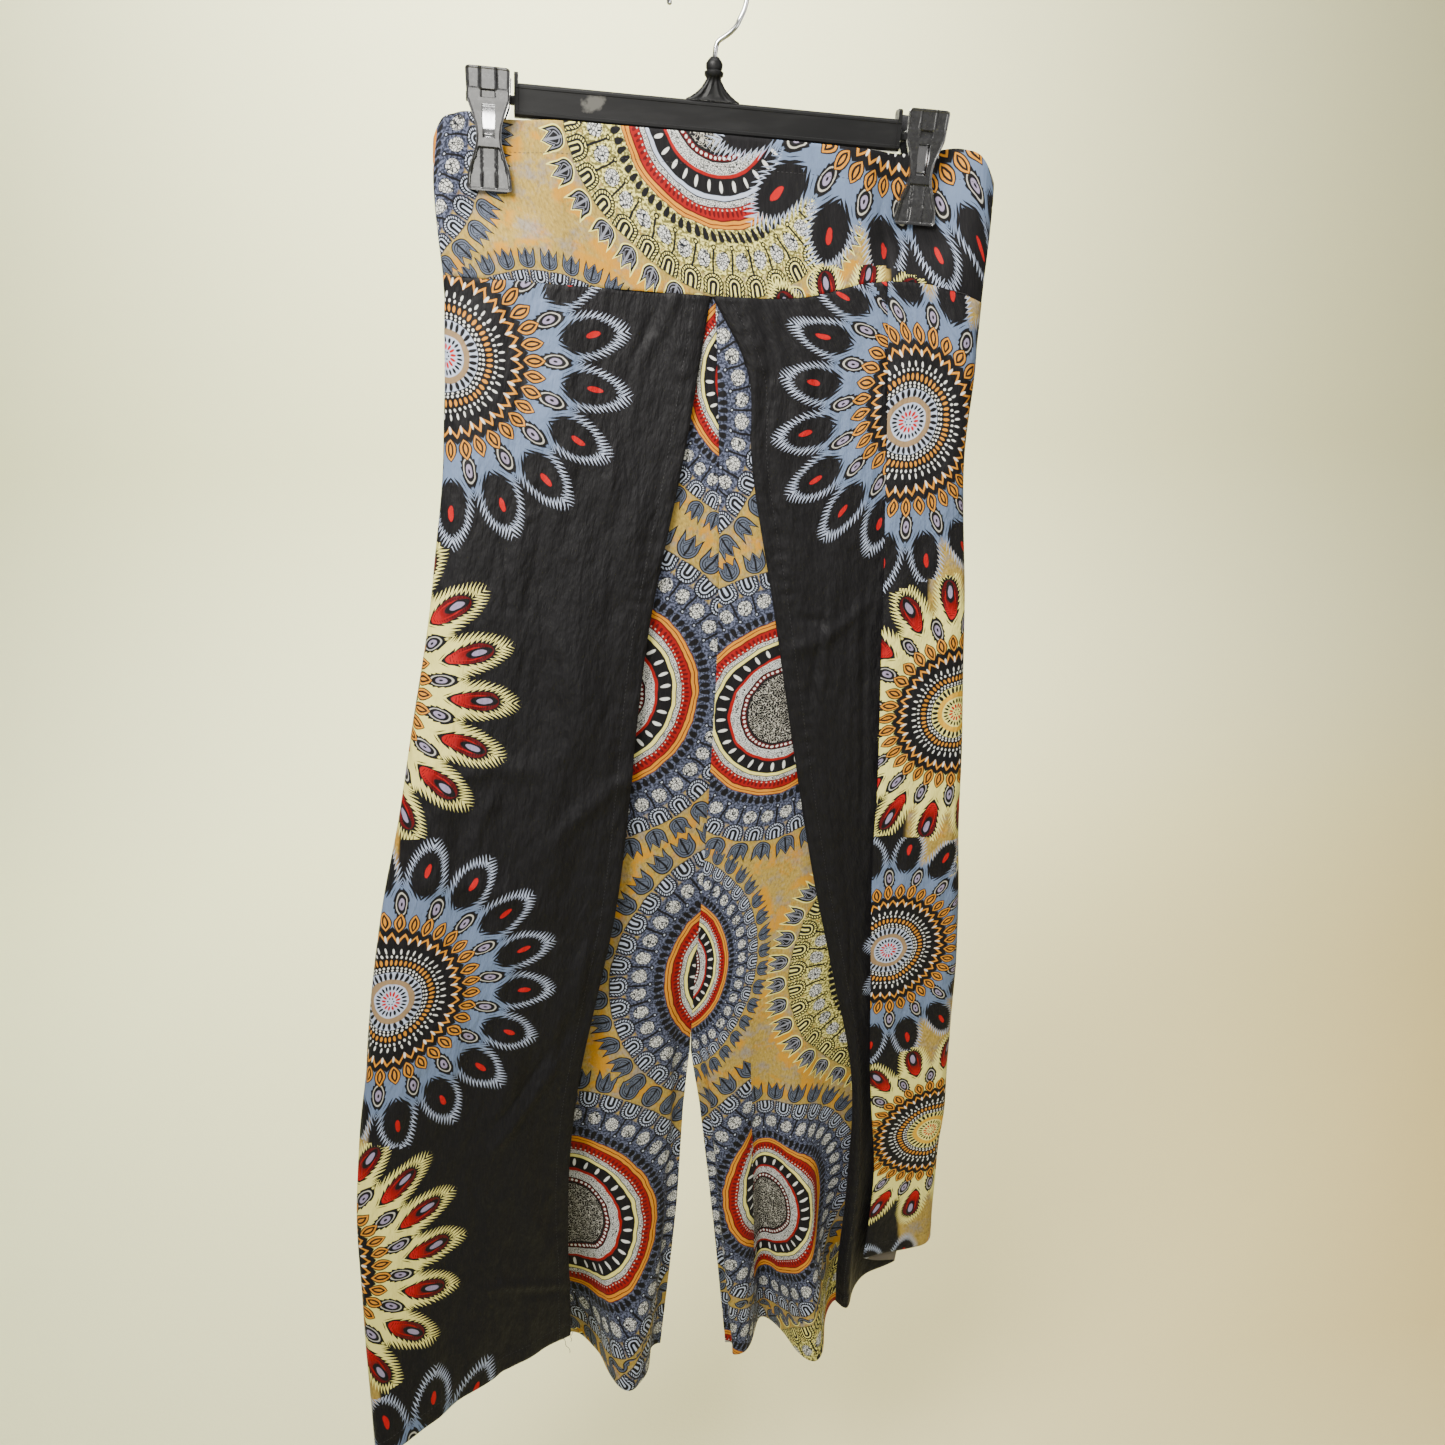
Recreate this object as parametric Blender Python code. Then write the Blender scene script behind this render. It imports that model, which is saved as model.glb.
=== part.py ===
"""Wrap pants hung by the waistband from a clip hanger.

Metres, +Z up. The front faces -Y and +X is to the right as seen from the
front, which is what left and right mean here. The origin is the inside top of
the hanger's hook, where a rail carries it. Heights are given as a drop, the
distance below that point.

The garment is a wide waistband, four leg panels with a low crotch, and two
overlay panels that open in an upturned V at the front and wrap round each
side to the side seams, which the elastic in the back draws to the rear.
"""
import math

import bmesh
import bpy
import numpy as np
from mathutils import Vector

# Cloth
WALL = 0.0012           # thickness of a cloth wall
SEAM_GAP = 0.0003       # between pieces that are sewn to each other
LAYER = 0.0017          # from the middle of one layer to the next at the waist seam
BAND_DEPTH = 0.0095     # half the depth of the waistband's loop at the waist seam
WAIST_DROP = 0.196      # about the middle of the waist seam
LEVEL = 0.010           # stretch of a leg panel next to the centre that runs level

# Hanger
HOOK_RADIUS = 0.025
HOOK_ENDS = (-38.0, 196.0)  # degrees round the hook, from above the knob to the free end
HOOK_SWAY = (0.0030, -0.0012)   # how far the wire bows out on its way up to the bend
SHANK_HEIGHT = 0.008    # straight stretch of the wire above the knob
WIRE_RADIUS = 0.0016
BAR_X = 0.0015          # middle of the bar
BAR_DROP = 0.0942
TILT = math.radians(4.03)   # the bar's right end hangs lower
BAR_HALF_LENGTH = 0.1225
BAR_HALF_HEIGHT = 0.0095
BAR_HALF_DEPTH = 0.0040
BAR_BEVEL = 0.3         # share of a bar's half depth that its edges lose
FLANGE = 0.0025
FLANGE_RISE = 0.0060    # above the bar's top
FLANGE_PROUD = 0.0010   # in front of the bar and behind it
PEG_RADIUS = 0.0028
CLIP_X = 0.1405         # middle of a clip, along the bar
CLIP_HALF_WIDTH = 0.0140
NECK_HEIGHT = 0.0130
KNOB_HEIGHT = 0.0120
KNOB_RADIUS = 0.0055
JAW_FACE = 0.0021       # a jaw's ribs from the middle of the cloth
RIB_WIDTH = 0.0042      # ribs down the sides of a clip's inner faces
STRIP_THICK = 0.0006    # steel strip of a clip's spring
STRIP_HALF_WIDTH = 0.0042

# Where the jaws press the waistband's two layers together
PINCH = 0.0010          # middle of each layer from the middle of the cloth
PINCH_FLAT = 0.016      # pressed level this far to each side of a clip's middle
PINCH_SIDE = 0.025      # and eased out over this much more
PINCH_DROP = 0.060      # pressed down to this far below the bar
PINCH_BELOW = 0.030     # and eased out over this much more

# Gathers that the elastic draws up across the back
GATHER_PITCH = 0.0125
GATHER_DEPTH = 0.0014
GATHER_FADE = 0.16      # on the legs they die out this far below the waist seam
GATHER_MARGIN = 0.010   # plain strip next to the side seams

# Waistband, by x: drop of its top edge and of the waist seam
BAND_EDGES = (
    # x, top, seam
    (-0.1760, 0.1120, 0.1865),
    (-0.1700, 0.0990, 0.1872),
    (-0.1600, 0.0935, 0.1880),
    (-0.1300, 0.0965, 0.1905),
    (-0.1140, 0.0972, 0.1920),
    (-0.0480, 0.1012, 0.1970),
    (0.0000, 0.1046, 0.2009),
    (0.0610, 0.1090, 0.2019),
    (0.1170, 0.1135, 0.1925),
    (0.1300, 0.1142, 0.1930),
    (0.1490, 0.1125, 0.1952),
    (0.1700, 0.1115, 0.2010),
    (0.1850, 0.1190, 0.2060),
    (0.1930, 0.1320, 0.2080),
)

# Folds at the two ends of the waistband's loop, by drop
BAND_FOLDS = (
    # drop, left fold, right fold
    (0.0930, -0.1720, 0.1900),
    (0.1250, -0.1760, 0.1930),
    (0.2080, -0.1750, 0.1900),
)
BAND_FRONT_X = (-0.10, 0.0, 0.10)   # places along the flat front between the folds
BAND_SEAM_LEFT = -0.080     # side seams, on the back of the loop
BAND_SEAM_RIGHT = 0.128

# Section of the left overlay by drop, from its front edge round to the seam
OVERLAY_LEFT = (
    # drop, edge, front of the fold, back of the fold, back, seam, each x, y
    (0.200, -0.002, -0.0095, -0.175, -0.0095, -0.175, 0.0095, -0.125, 0.0095, -0.080, 0.0095),
    (0.310, -0.024, -0.0125, -0.187, -0.0150, -0.187, 0.0085, -0.140, 0.0115, -0.092, 0.0115),
    (0.415, -0.049, -0.0170, -0.208, -0.0260, -0.208, 0.0020, -0.162, 0.0110, -0.115, 0.0125),
    (0.630, -0.082, -0.0270, -0.257, -0.0600, -0.257, -0.0300, -0.215, -0.0040, -0.172, 0.0060),
    (0.845, -0.130, -0.0400, -0.296, -0.1000, -0.296, -0.0660, -0.258, -0.0380, -0.216, -0.0180),
    (1.060, -0.144, -0.0550, -0.298, -0.1470, -0.298, -0.1120, -0.272, -0.0760, -0.242, -0.0480),
)
OVERLAY_LEFT_HEM = (1.049, 1.040, 1.060, 1.060, 1.052, 1.045)

# Section of the right overlay by drop. A knife pleat opens towards the front
# edge: the cloth runs under it by the intake, comes back and goes over itself.
OVERLAY_RIGHT = (
    # drop, edge x, edge y, roll, under y, pleat x, intake, layer, fold x, back y, seam x, seam y
    (0.200, -0.001, -0.0095, 0.0000, -0.0095, 0.1190, 0.008, 0.0031, 0.1900, 0.0130, 0.1280, 0.0095),
    (0.245, 0.022, -0.0098, 0.0005, -0.0098, 0.1200, 0.009, 0.0034, 0.1860, 0.0124, 0.1200, 0.0100),
    (0.310, 0.026, -0.0105, 0.0010, -0.0099, 0.1220, 0.011, 0.0035, 0.1825, 0.0123, 0.1160, 0.0115),
    (0.415, 0.042, -0.0110, 0.0020, -0.0094, 0.1240, 0.018, 0.0035, 0.1900, 0.0138, 0.1220, 0.0130),
    (0.520, 0.057, -0.0120, 0.0030, -0.0093, 0.1256, 0.028, 0.0035, 0.1960, 0.0143, 0.1320, 0.0135),
    (0.630, 0.074, -0.0130, 0.0040, -0.0092, 0.1240, 0.038, 0.0035, 0.2000, 0.0143, 0.1430, 0.0135),
    (0.730, 0.093, -0.0150, 0.0060, -0.0102, 0.1260, 0.045, 0.0035, 0.2040, 0.0141, 0.1480, 0.0133),
    (0.840, 0.112, -0.0180, 0.0080, -0.0117, 0.1300, 0.048, 0.0035, 0.2015, 0.0138, 0.1450, 0.0130),
    (0.950, 0.110, -0.0200, 0.0130, -0.0120, 0.1365, 0.040, 0.0035, 0.1980, 0.0125, 0.1300, 0.0117),
    (1.050, 0.103, -0.0230, 0.0200, -0.0135, 0.1290, 0.032, 0.0035, 0.1980, 0.0108, 0.1140, 0.0100),
)
OVERLAY_RIGHT_HEM = (1.084, 1.085, 1.076, 1.055, 1.049, 1.044, 1.037, 1.034, 1.031, 1.024, 1.020)
ROLL_SPAN = (0.30, 0.75)    # shares of the stretch before the pleat that roll up

# Centre seam above the crotch and the inseams below it
CENTRE = (
    # drop, x, distance between the two legs, front y, back y
    (0.200, 0.0016, 0.0000, -0.0078, 0.0078),
    (0.310, 0.0027, 0.0000, -0.0070, 0.0095),
    (0.415, 0.0014, 0.0000, -0.0065, 0.0105),
    (0.630, -0.0128, 0.0000, -0.0055, 0.0090),
    (0.760, -0.0240, 0.0000, -0.0040, 0.0040),
    (0.805, -0.0265, 0.0010, -0.0014, 0.0006),
    (0.860, -0.0268, 0.0145, -0.0020, 0.0000),
    (0.960, -0.0272, 0.0305, -0.0060, -0.0040),
    (1.115, -0.0325, 0.0610, -0.0180, -0.0155),
)

# Sections of the leg panels by drop, from next to the centre to the side seam
LEG_FRONT_LEFT = (
    # drop, inner, ridge, valley, front of the fold, back of the fold, back
    (0.200, -0.030, -0.0078, -0.060, -0.0078, -0.0885, -0.0078,
     -0.1733, -0.0078, -0.1733, 0.0078, -0.110, 0.0078),
    (0.310, -0.030, -0.0085, -0.070, -0.0080, -0.120, -0.0060,
     -0.1780, -0.0080, -0.1780, 0.0060, -0.120, 0.0096),
    (0.415, -0.030, -0.0090, -0.070, -0.0085, -0.130, -0.0050,
     -0.1900, -0.0085, -0.1900, 0.0010, -0.140, 0.0095),
    (0.630, -0.040, -0.0100, -0.080, -0.0120, -0.140, -0.0080,
     -0.2250, -0.0300, -0.2250, -0.0180, -0.192, -0.0025),
    (0.800, -0.045, -0.0120, -0.090, -0.0180, -0.150, -0.0120,
     -0.2430, -0.0550, -0.2460, -0.0460, -0.224, -0.0280),
    (0.960, -0.056, -0.0200, -0.095, -0.0300, -0.135, -0.0060,
     -0.1900, -0.0320, -0.2360, -0.0530, -0.240, -0.0460),
    (1.115, -0.075, -0.0460, -0.101, -0.0740, -0.134, 0.0130,
     -0.1800, -0.0300, -0.2360, -0.0640, -0.252, -0.0600),
)
LEG_FRONT_LEFT_HEM = (1.114, 1.114, 1.114, 1.114, 1.108, 1.088, 1.083, 1.082, 1.082)

LEG_FRONT_RIGHT = (
    # drop, inner, ridge, valley, ridge, valley, front of the fold, back of the fold
    (0.200, 0.030, -0.0078, 0.050, -0.0078, 0.080, -0.0078, 0.110, -0.0078,
     0.140, -0.0078, 0.1868, -0.0078, 0.1868, 0.0078),
    (0.245, 0.030, -0.0078, 0.050, -0.0078, 0.076, -0.0075, 0.106, -0.0070,
     0.136, -0.0067, 0.1800, -0.0070, 0.1800, 0.0075),
    (0.310, 0.030, -0.0078, 0.050, -0.0078, 0.070, -0.0070, 0.100, -0.0060,
     0.130, -0.0050, 0.1760, -0.0060, 0.1760, 0.0085),
    (0.415, 0.020, -0.0080, 0.040, -0.0080, 0.060, -0.0070, 0.090, -0.0055,
     0.120, -0.0035, 0.1820, -0.0035, 0.1820, 0.0090),
    (0.630, 0.010, -0.0090, 0.030, -0.0090, 0.050, -0.0080, 0.070, -0.0070,
     0.110, -0.0030, 0.1890, -0.0025, 0.1890, 0.0090),
    (0.800, -0.012, -0.0100, 0.010, -0.0120, 0.035, -0.0090, 0.060, -0.0160,
     0.095, -0.0030, 0.1860, -0.0020, 0.1860, 0.0085),
    (0.960, -0.008, -0.0200, 0.020, -0.0260, 0.036, 0.0030, 0.068, -0.0430,
     0.095, -0.0010, 0.1530, -0.0020, 0.1530, 0.0075),
    (1.115, 0.000, -0.0360, 0.020, -0.0360, 0.037, 0.0120, 0.076, -0.0840,
     0.100, 0.0020, 0.1200, -0.0040, 0.1200, 0.0060),
)
LEG_FRONT_RIGHT_HEM = (1.124, 1.124, 1.122, 1.116, 1.112, 1.112, 1.108, 1.106, 1.104, 1.104)

LEG_BACK_LEFT = (
    # drop, inner, outer
    (0.200, -0.025, 0.0078, -0.055, 0.0078),
    (0.310, -0.030, 0.0115, -0.060, 0.0115),
    (0.415, -0.035, 0.0135, -0.080, 0.0140),
    (0.630, -0.050, 0.0170, -0.120, 0.0160),
    (0.800, -0.060, 0.0220, -0.140, 0.0140),
    (0.960, -0.080, 0.0260, -0.160, 0.0100),
    (1.115, -0.090, 0.0280, -0.170, 0.0040),
)
LEG_BACK_LEFT_HEM = (1.110, 1.110, 1.110, 1.100, 1.083)

LEG_BACK_RIGHT = (
    # drop, inner, outer
    (0.200, 0.040, 0.0078, 0.090, 0.0078),
    (0.310, 0.045, 0.0120, 0.090, 0.0120),
    (0.415, 0.045, 0.0150, 0.090, 0.0160),
    (0.630, 0.040, 0.0190, 0.105, 0.0210),
    (0.800, 0.020, 0.0270, 0.110, 0.0270),
    (0.960, 0.010, 0.0320, 0.090, 0.0340),
    (1.115, 0.015, 0.0360, 0.080, 0.0380),
)
LEG_BACK_RIGHT_HEM = (1.112, 1.112, 1.110, 1.106, 1.104)

# Layers between the overlay and the leg panels at the left side seam, by drop
LEFT_LAYERS = ((0.5, 0.8, 1.1), (1.0, 1.4, 1.6))

# Seam gaps between a leg's front and back panels at the side seam, by drop
SIDE_GAPS = ((0.8, 1.1), (3.0, 6.0))


def table(rows):
    """A short table as an array: its first column is the key."""
    return np.array(rows, float)


def follow(rows, column, key):
    """A column of a table at each key, on a smooth curve through its rows.

    Between two rows it is a cubic whose slopes at the rows come from their
    neighbours. Past the first and the last row it stays level.
    """
    keys, values = rows[:, 0], rows[:, column]
    slopes = np.gradient(values, keys)
    low = np.clip(np.searchsorted(keys, key) - 1, 0, len(keys) - 2)
    step = keys[low + 1] - keys[low]
    s = np.clip((key - keys[low]) / step, 0.0, 1.0)
    return (values[low] * (1 + 2 * s) * (1 - s) ** 2
            + slopes[low] * step * s * (1 - s) ** 2
            + values[low + 1] * s * s * (3 - 2 * s)
            + slopes[low + 1] * step * s * s * (s - 1))


def ease(share):
    """0 to 1 with level ends, for a share that is held between 0 and 1."""
    share = np.clip(share, 0.0, 1.0)
    return share * share * (3 - 2 * share)


def curve_weights(steps):
    """How much each corner of a section weighs in each column of points.

    The curve is a quadratic spline on the corners that starts at the first
    one and ends at the last one. steps gives the number of columns along
    each inner corner's stretch.
    """
    corners = len(steps) + 2
    weights = []
    for stretch, count in enumerate(steps):
        last = stretch == len(steps) - 1
        for s in np.linspace(0.0, 1.0, count + 1)[:count + 1 if last else count]:
            row = np.zeros(corners)
            row[stretch] = 0.5 * (1 - s) ** 2
            row[stretch + 1] = 0.5 + s * (1 - s)
            row[stretch + 2] = 0.5 * s * s
            weights.append(row)
    weights = np.array(weights)
    weights[:, 1] -= weights[:, 0]
    weights[:, 0] *= 2
    weights[:, -2] -= weights[:, -1]
    weights[:, -1] *= 2
    return weights


def band_edge(x, column):
    """Drop of the waistband's top (1) or of the waist seam (2) at each x."""
    return follow(table(BAND_EDGES), column, x)


def surface(corners, steps, rows, hem):
    """Points of a panel's middle surface, rows by columns.

    corners(drop) gives the x and y of each corner of the section at each
    drop. Every column hangs from just below the waist seam down to the hem,
    whose drop is given at each corner. The top is found by going back and
    forth between a column's x and the waist seam's drop there.
    """
    weights = curve_weights(steps)
    start = np.full(len(weights), WAIST_DROP)
    for _ in range(4):
        x, _ = corners(start[None, :])
        start = band_edge(np.einsum("ck,krc->rc", weights, x)[0], 2) + SEAM_GAP
    end = weights @ np.array(hem)
    drop = start + np.linspace(0.0, 1.0, rows + 1)[:, None] * (end - start)
    x, y = corners(drop)
    return np.stack([np.einsum("ck,krc->rc", weights, x),
                     np.einsum("ck,krc->rc", weights, y), -drop], axis=-1)


def material(name, colour, roughness, metallic=0.0):
    """A plain finish of one colour."""
    finish = bpy.data.materials.new(name)
    finish.use_nodes = True
    shader = finish.node_tree.nodes["Principled BSDF"]
    shader.inputs["Base Color"].default_value = (*colour, 1.0)
    shader.inputs["Roughness"].default_value = roughness
    shader.inputs["Metallic"].default_value = metallic
    finish.diffuse_color = (*colour, 1.0)
    return finish


def add_object(name, mesh, finish, smooth=True):
    """Put a mesh in the scene under a name, with its finish."""
    if smooth:
        mesh.shade_smooth()
        mesh.set_sharp_from_angle(angle=math.radians(40))
    mesh.materials.append(finish)
    piece = bpy.data.objects.new(name, mesh)
    bpy.context.collection.objects.link(piece)
    return piece


def cloth(name, middle, finish):
    """A closed wall, WALL thick, round a grid of middle points."""
    along_rows, along_columns = np.gradient(middle, axis=(0, 1))
    normal = np.cross(along_columns, along_rows)
    normal /= np.linalg.norm(normal, axis=-1, keepdims=True)
    rows, columns = middle.shape[:2]
    count = rows * columns
    points = np.concatenate([(middle + normal * WALL / 2).reshape(-1, 3),
                             (middle - normal * WALL / 2).reshape(-1, 3)])
    index = np.arange(count).reshape(rows, columns)
    upper_left, lower_left = index[:-1, :-1].ravel(), index[1:, :-1].ravel()
    upper_right, lower_right = index[:-1, 1:].ravel(), index[1:, 1:].ravel()
    sheet = np.concatenate([np.stack([upper_left, lower_left, lower_right], axis=1),
                            np.stack([upper_left, lower_right, upper_right], axis=1)])
    rim = np.concatenate([index[0, :], index[1:, -1], index[-1, -2::-1], index[-2:0:-1, 0]])
    following = np.roll(rim, -1)
    edge = np.stack([rim, following, following + count, rim + count], axis=-1)
    faces = sheet.tolist() + (sheet[:, ::-1] + count).tolist() + edge.tolist()
    mesh = bpy.data.meshes.new(name)
    mesh.from_pydata(points.tolist(), [], faces)
    turn_outwards(mesh)
    return add_object(name, mesh, finish)


def turn_outwards(mesh):
    """Turn a closed mesh's faces outwards."""
    shape = bmesh.new()
    shape.from_mesh(mesh)
    bmesh.ops.recalc_face_normals(shape, faces=shape.faces)
    if shape.calc_volume(signed=True) < 0:
        bmesh.ops.reverse_faces(shape, faces=shape.faces)
    shape.to_mesh(mesh)
    shape.free()


def pinch(x, drop):
    """1 where the jaws press the waistband's layers together, 0 away from them."""
    weight = np.zeros(np.broadcast(x, drop).shape)
    for side in (-1, 1):
        middle_x = BAR_X + side * CLIP_X * math.cos(TILT)
        jaw_end = BAR_DROP + side * CLIP_X * math.sin(TILT) + PINCH_DROP
        across = ease((np.abs(x - middle_x) - PINCH_FLAT) / PINCH_SIDE)
        below = ease((drop - jaw_end) / PINCH_BELOW)
        weight = np.maximum(weight, (1 - across) * (1 - below))
    return weight


def band_half_depth(x, drop):
    """Half the depth of the waistband's loop at each x and drop."""
    return BAND_DEPTH + (PINCH - BAND_DEPTH) * pinch(x, drop)


def waistband_front():
    """The flat front of the waistband, round both sides to the side seams.

    Its section is a spline from seam to seam whose y runs between 1 on the
    back layer and -1 on the front layer, times half the loop's depth.
    """
    folds = table(BAND_FOLDS)
    weights = curve_weights((12, 8, 12, 5, 12, 8, 8))
    layer = weights @ np.array((1.0, 1.0, -1.0, -1.0, -1.0, -1.0, -1.0, 1.0, 1.0))

    def across(drop):
        left, right = follow(folds, 1, drop), follow(folds, 2, drop)
        level = np.ones_like(drop)
        x = np.array([BAND_SEAM_LEFT * level, left, left, *(x * level for x in BAND_FRONT_X),
                      right, right, BAND_SEAM_RIGHT * level])
        return np.einsum("ck,krc->rc", weights, x)

    top = np.full(len(weights), WAIST_DROP)
    seam = top
    for _ in range(4):
        top = band_edge(across(top[None, :])[0], 1)
        seam = band_edge(across(seam[None, :])[0], 2)
    drop = top + np.linspace(0.0, 1.0, 8)[:, None] * (seam - top)
    x = across(drop)
    return np.stack([x, layer * band_half_depth(x, drop), -drop], axis=-1)


def waistband_back():
    """The gathered, elastic back of the waistband."""
    columns = int(round((BAND_SEAM_RIGHT - BAND_SEAM_LEFT) / GATHER_PITCH)) * 4
    x = np.linspace(BAND_SEAM_LEFT + SEAM_GAP, BAND_SEAM_RIGHT - SEAM_GAP, columns + 1)
    top, seam = band_edge(x, 1), band_edge(x, 2)
    drop = top + np.linspace(0.0, 1.0, 6)[:, None] * (seam - top)
    inset = np.minimum(x - BAND_SEAM_LEFT, BAND_SEAM_RIGHT - x) / GATHER_MARGIN
    wave = GATHER_DEPTH * np.sin(2 * math.pi * x / GATHER_PITCH) * np.clip(inset, 0, 1)
    y = band_half_depth(x, drop) + wave * (1 - pinch(x, drop))
    return np.stack([np.broadcast_to(x, drop.shape), y, -drop], axis=-1)


def corners_from(rows, first=None, last=None):
    """Corners of a section as a function of drop: x and y pairs of a table.

    first and last are added before and after them, and each gives x and y.
    Next to the first one the section runs level, so that two panels that meet
    there lie in one plane.
    """
    def corners(drop):
        pairs = [(follow(rows, k, drop), follow(rows, k + 1, drop))
                 for k in range(1, rows.shape[1], 2)]
        if first:
            x, y = first(drop)
            pairs = [(x, y), (x + math.copysign(LEVEL, rows[0, 1]), y)] + pairs
        if last:
            pairs.append(last(drop))
        return np.array([p[0] for p in pairs]), np.array([p[1] for p in pairs])
    return corners


def overlay_left():
    """The left overlay, drawn out to the side and forwards at its hem."""
    rows = table(OVERLAY_LEFT)
    pairs = corners_from(rows)

    def corners(drop):
        x, y = pairs(drop)
        middle_x, middle_y = 0.5 * (x[0] + x[1]), 0.5 * (y[0] + y[1])
        return (np.concatenate([x[:1], middle_x[None], x[1:]]),
                np.concatenate([y[:1], middle_y[None], y[1:]]))
    return surface(corners, (5, 5, 4, 3), 20, OVERLAY_LEFT_HEM)


def overlay_right():
    """The right overlay, with its deep pleat and its rolled front edge."""
    rows = table(OVERLAY_RIGHT)

    def corners(drop):
        (edge_x, edge_y, roll, under, pleat_x, intake, layer, fold_x, back, seam_x,
         seam_y) = (follow(rows, k, drop) for k in range(1, 12))
        width = pleat_x - edge_x
        over = under - 2 * layer
        x = (edge_x, edge_x + ROLL_SPAN[0] * width, edge_x + ROLL_SPAN[1] * width,
             pleat_x + intake, pleat_x + intake, pleat_x, pleat_x,
             0.5 * (pleat_x + fold_x), fold_x, fold_x, seam_x)
        y = (edge_y, edge_y - roll, under + ROLL_SPAN[0] * roll,
             under, under - layer, under - layer, over,
             over - 0.5 * WALL, over, back, seam_y)
        return np.array(x), np.array(y)
    return surface(corners, (3,) * 9, 20, OVERLAY_RIGHT_HEM)


def centre(side, layer):
    """The edge of a leg panel at the centre seam and the inseam, by drop."""
    rows = table(CENTRE)

    def edge(drop):
        apart = np.interp(drop, rows[:, 0], rows[:, 2]) + SEAM_GAP
        return (follow(rows, 1, drop) + side * apart / 2,
                follow(rows, 3 if layer < 0 else 4, drop))
    return edge


def side_seam(side, back=False):
    """The edge of a leg panel at the side seam, by drop.

    It lies one layer in front of the overlay's edge, and on the left more
    where the cloth runs aslant there. The back panel keeps a gap to it.
    """
    rows = table(OVERLAY_LEFT if side < 0 else OVERLAY_RIGHT)
    columns = rows.shape[1]

    def edge(drop):
        layers = np.interp(drop, *LEFT_LAYERS) if side < 0 else 1.0
        gap = np.interp(drop, *SIDE_GAPS) * SEAM_GAP if back else 0.0
        return (follow(rows, columns - 2, drop) - side * gap,
                follow(rows, columns - 1, drop) - LAYER * layers)
    return edge


def leg_front(side):
    """A leg's front panel, round its side to the side seam."""
    if side < 0:
        corners = corners_from(table(LEG_FRONT_LEFT), centre(-1, -1), side_seam(-1))
        return surface(corners, (2, 3, 5, 5, 3, 3, 2), 20, LEG_FRONT_LEFT_HEM)
    corners = corners_from(table(LEG_FRONT_RIGHT), centre(1, -1), side_seam(1))
    return surface(corners, (2, 2, 3, 3, 5, 3, 4, 3), 20, LEG_FRONT_RIGHT_HEM)


def leg_back(side):
    """A leg's back panel, gathered under the waistband."""
    rows, steps, hem = ((LEG_BACK_LEFT, (2, 7, 7), LEG_BACK_LEFT_HEM) if side < 0
                        else (LEG_BACK_RIGHT, (2, 10, 10), LEG_BACK_RIGHT_HEM))
    corners = corners_from(table(rows), centre(side, 1), side_seam(side, True))
    points = surface(corners, steps, 18, hem)
    fade = np.clip(1 + (points[..., 2] + WAIST_DROP) / GATHER_FADE, 0.0, 1.0)
    edges = points[..., 0] - points[:, :1, 0], points[..., 0] - points[:, -1:, 0]
    inset = np.clip(np.minimum(*np.abs(edges)) / GATHER_MARGIN, 0, 1)
    points[..., 1] += (GATHER_DEPTH * np.sin(math.pi * points[..., 0] / GATHER_PITCH)
                       * fade * inset)
    return points


def on_hanger(points):
    """Places on the hanger, from its own frame along the bar, in the world."""
    cos, sin = math.cos(TILT), math.sin(TILT)
    return [(BAR_X + x * cos + z * sin, y, -BAR_DROP - x * sin + z * cos)
            for x, y, z in points]


def loft(name, loops, finish):
    """A closed solid through loops of points with the same count."""
    size = len(loops[0])
    points = [p for loop in loops for p in on_hanger(loop)]
    faces = [tuple(range(size)), tuple(range(len(points) - size, len(points)))]
    for k in range(len(loops) - 1):
        for i in range(size):
            j = (i + 1) % size
            faces.append((k * size + i, k * size + j, (k + 1) * size + j, (k + 1) * size + i))
    mesh = bpy.data.meshes.new(name)
    mesh.from_pydata(points, [], faces)
    turn_outwards(mesh)
    return add_object(name, mesh, finish, smooth=False)


def bar(finish):
    """The bar, with an end flange and a peg for a clip at each end."""
    def loop(x, half_depth, low, high):
        cut = BAR_BEVEL * half_depth
        return [(x, -half_depth, low + cut), (x, -half_depth, high - cut),
                (x, -half_depth + cut, high), (x, half_depth - cut, high),
                (x, half_depth, high - cut), (x, half_depth, low + cut),
                (x, half_depth - cut, low), (x, -half_depth + cut, low)]
    flange = (BAR_HALF_DEPTH + FLANGE_PROUD, -BAR_HALF_HEIGHT, BAR_HALF_HEIGHT + FLANGE_RISE)
    sizes = [(CLIP_X + CLIP_HALF_WIDTH, PEG_RADIUS, -PEG_RADIUS, PEG_RADIUS),
             (BAR_HALF_LENGTH + FLANGE, PEG_RADIUS, -PEG_RADIUS, PEG_RADIUS),
             (BAR_HALF_LENGTH + FLANGE, *flange),
             (BAR_HALF_LENGTH, *flange),
             (BAR_HALF_LENGTH, BAR_HALF_DEPTH, -BAR_HALF_HEIGHT, BAR_HALF_HEIGHT)]
    loops = [loop(-x, *size) for x, *size in sizes] + [loop(x, *size) for x, *size in sizes[::-1]]
    return loft("hanger_bar", loops, finish)


def round_loop(radius_x, radius_y, z, sides=12):
    """Points round an upright post at one height."""
    turns = [2 * math.pi * k / sides for k in range(sides)]
    return [(radius_x * math.cos(t), radius_y * math.sin(t), z) for t in turns]


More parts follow.
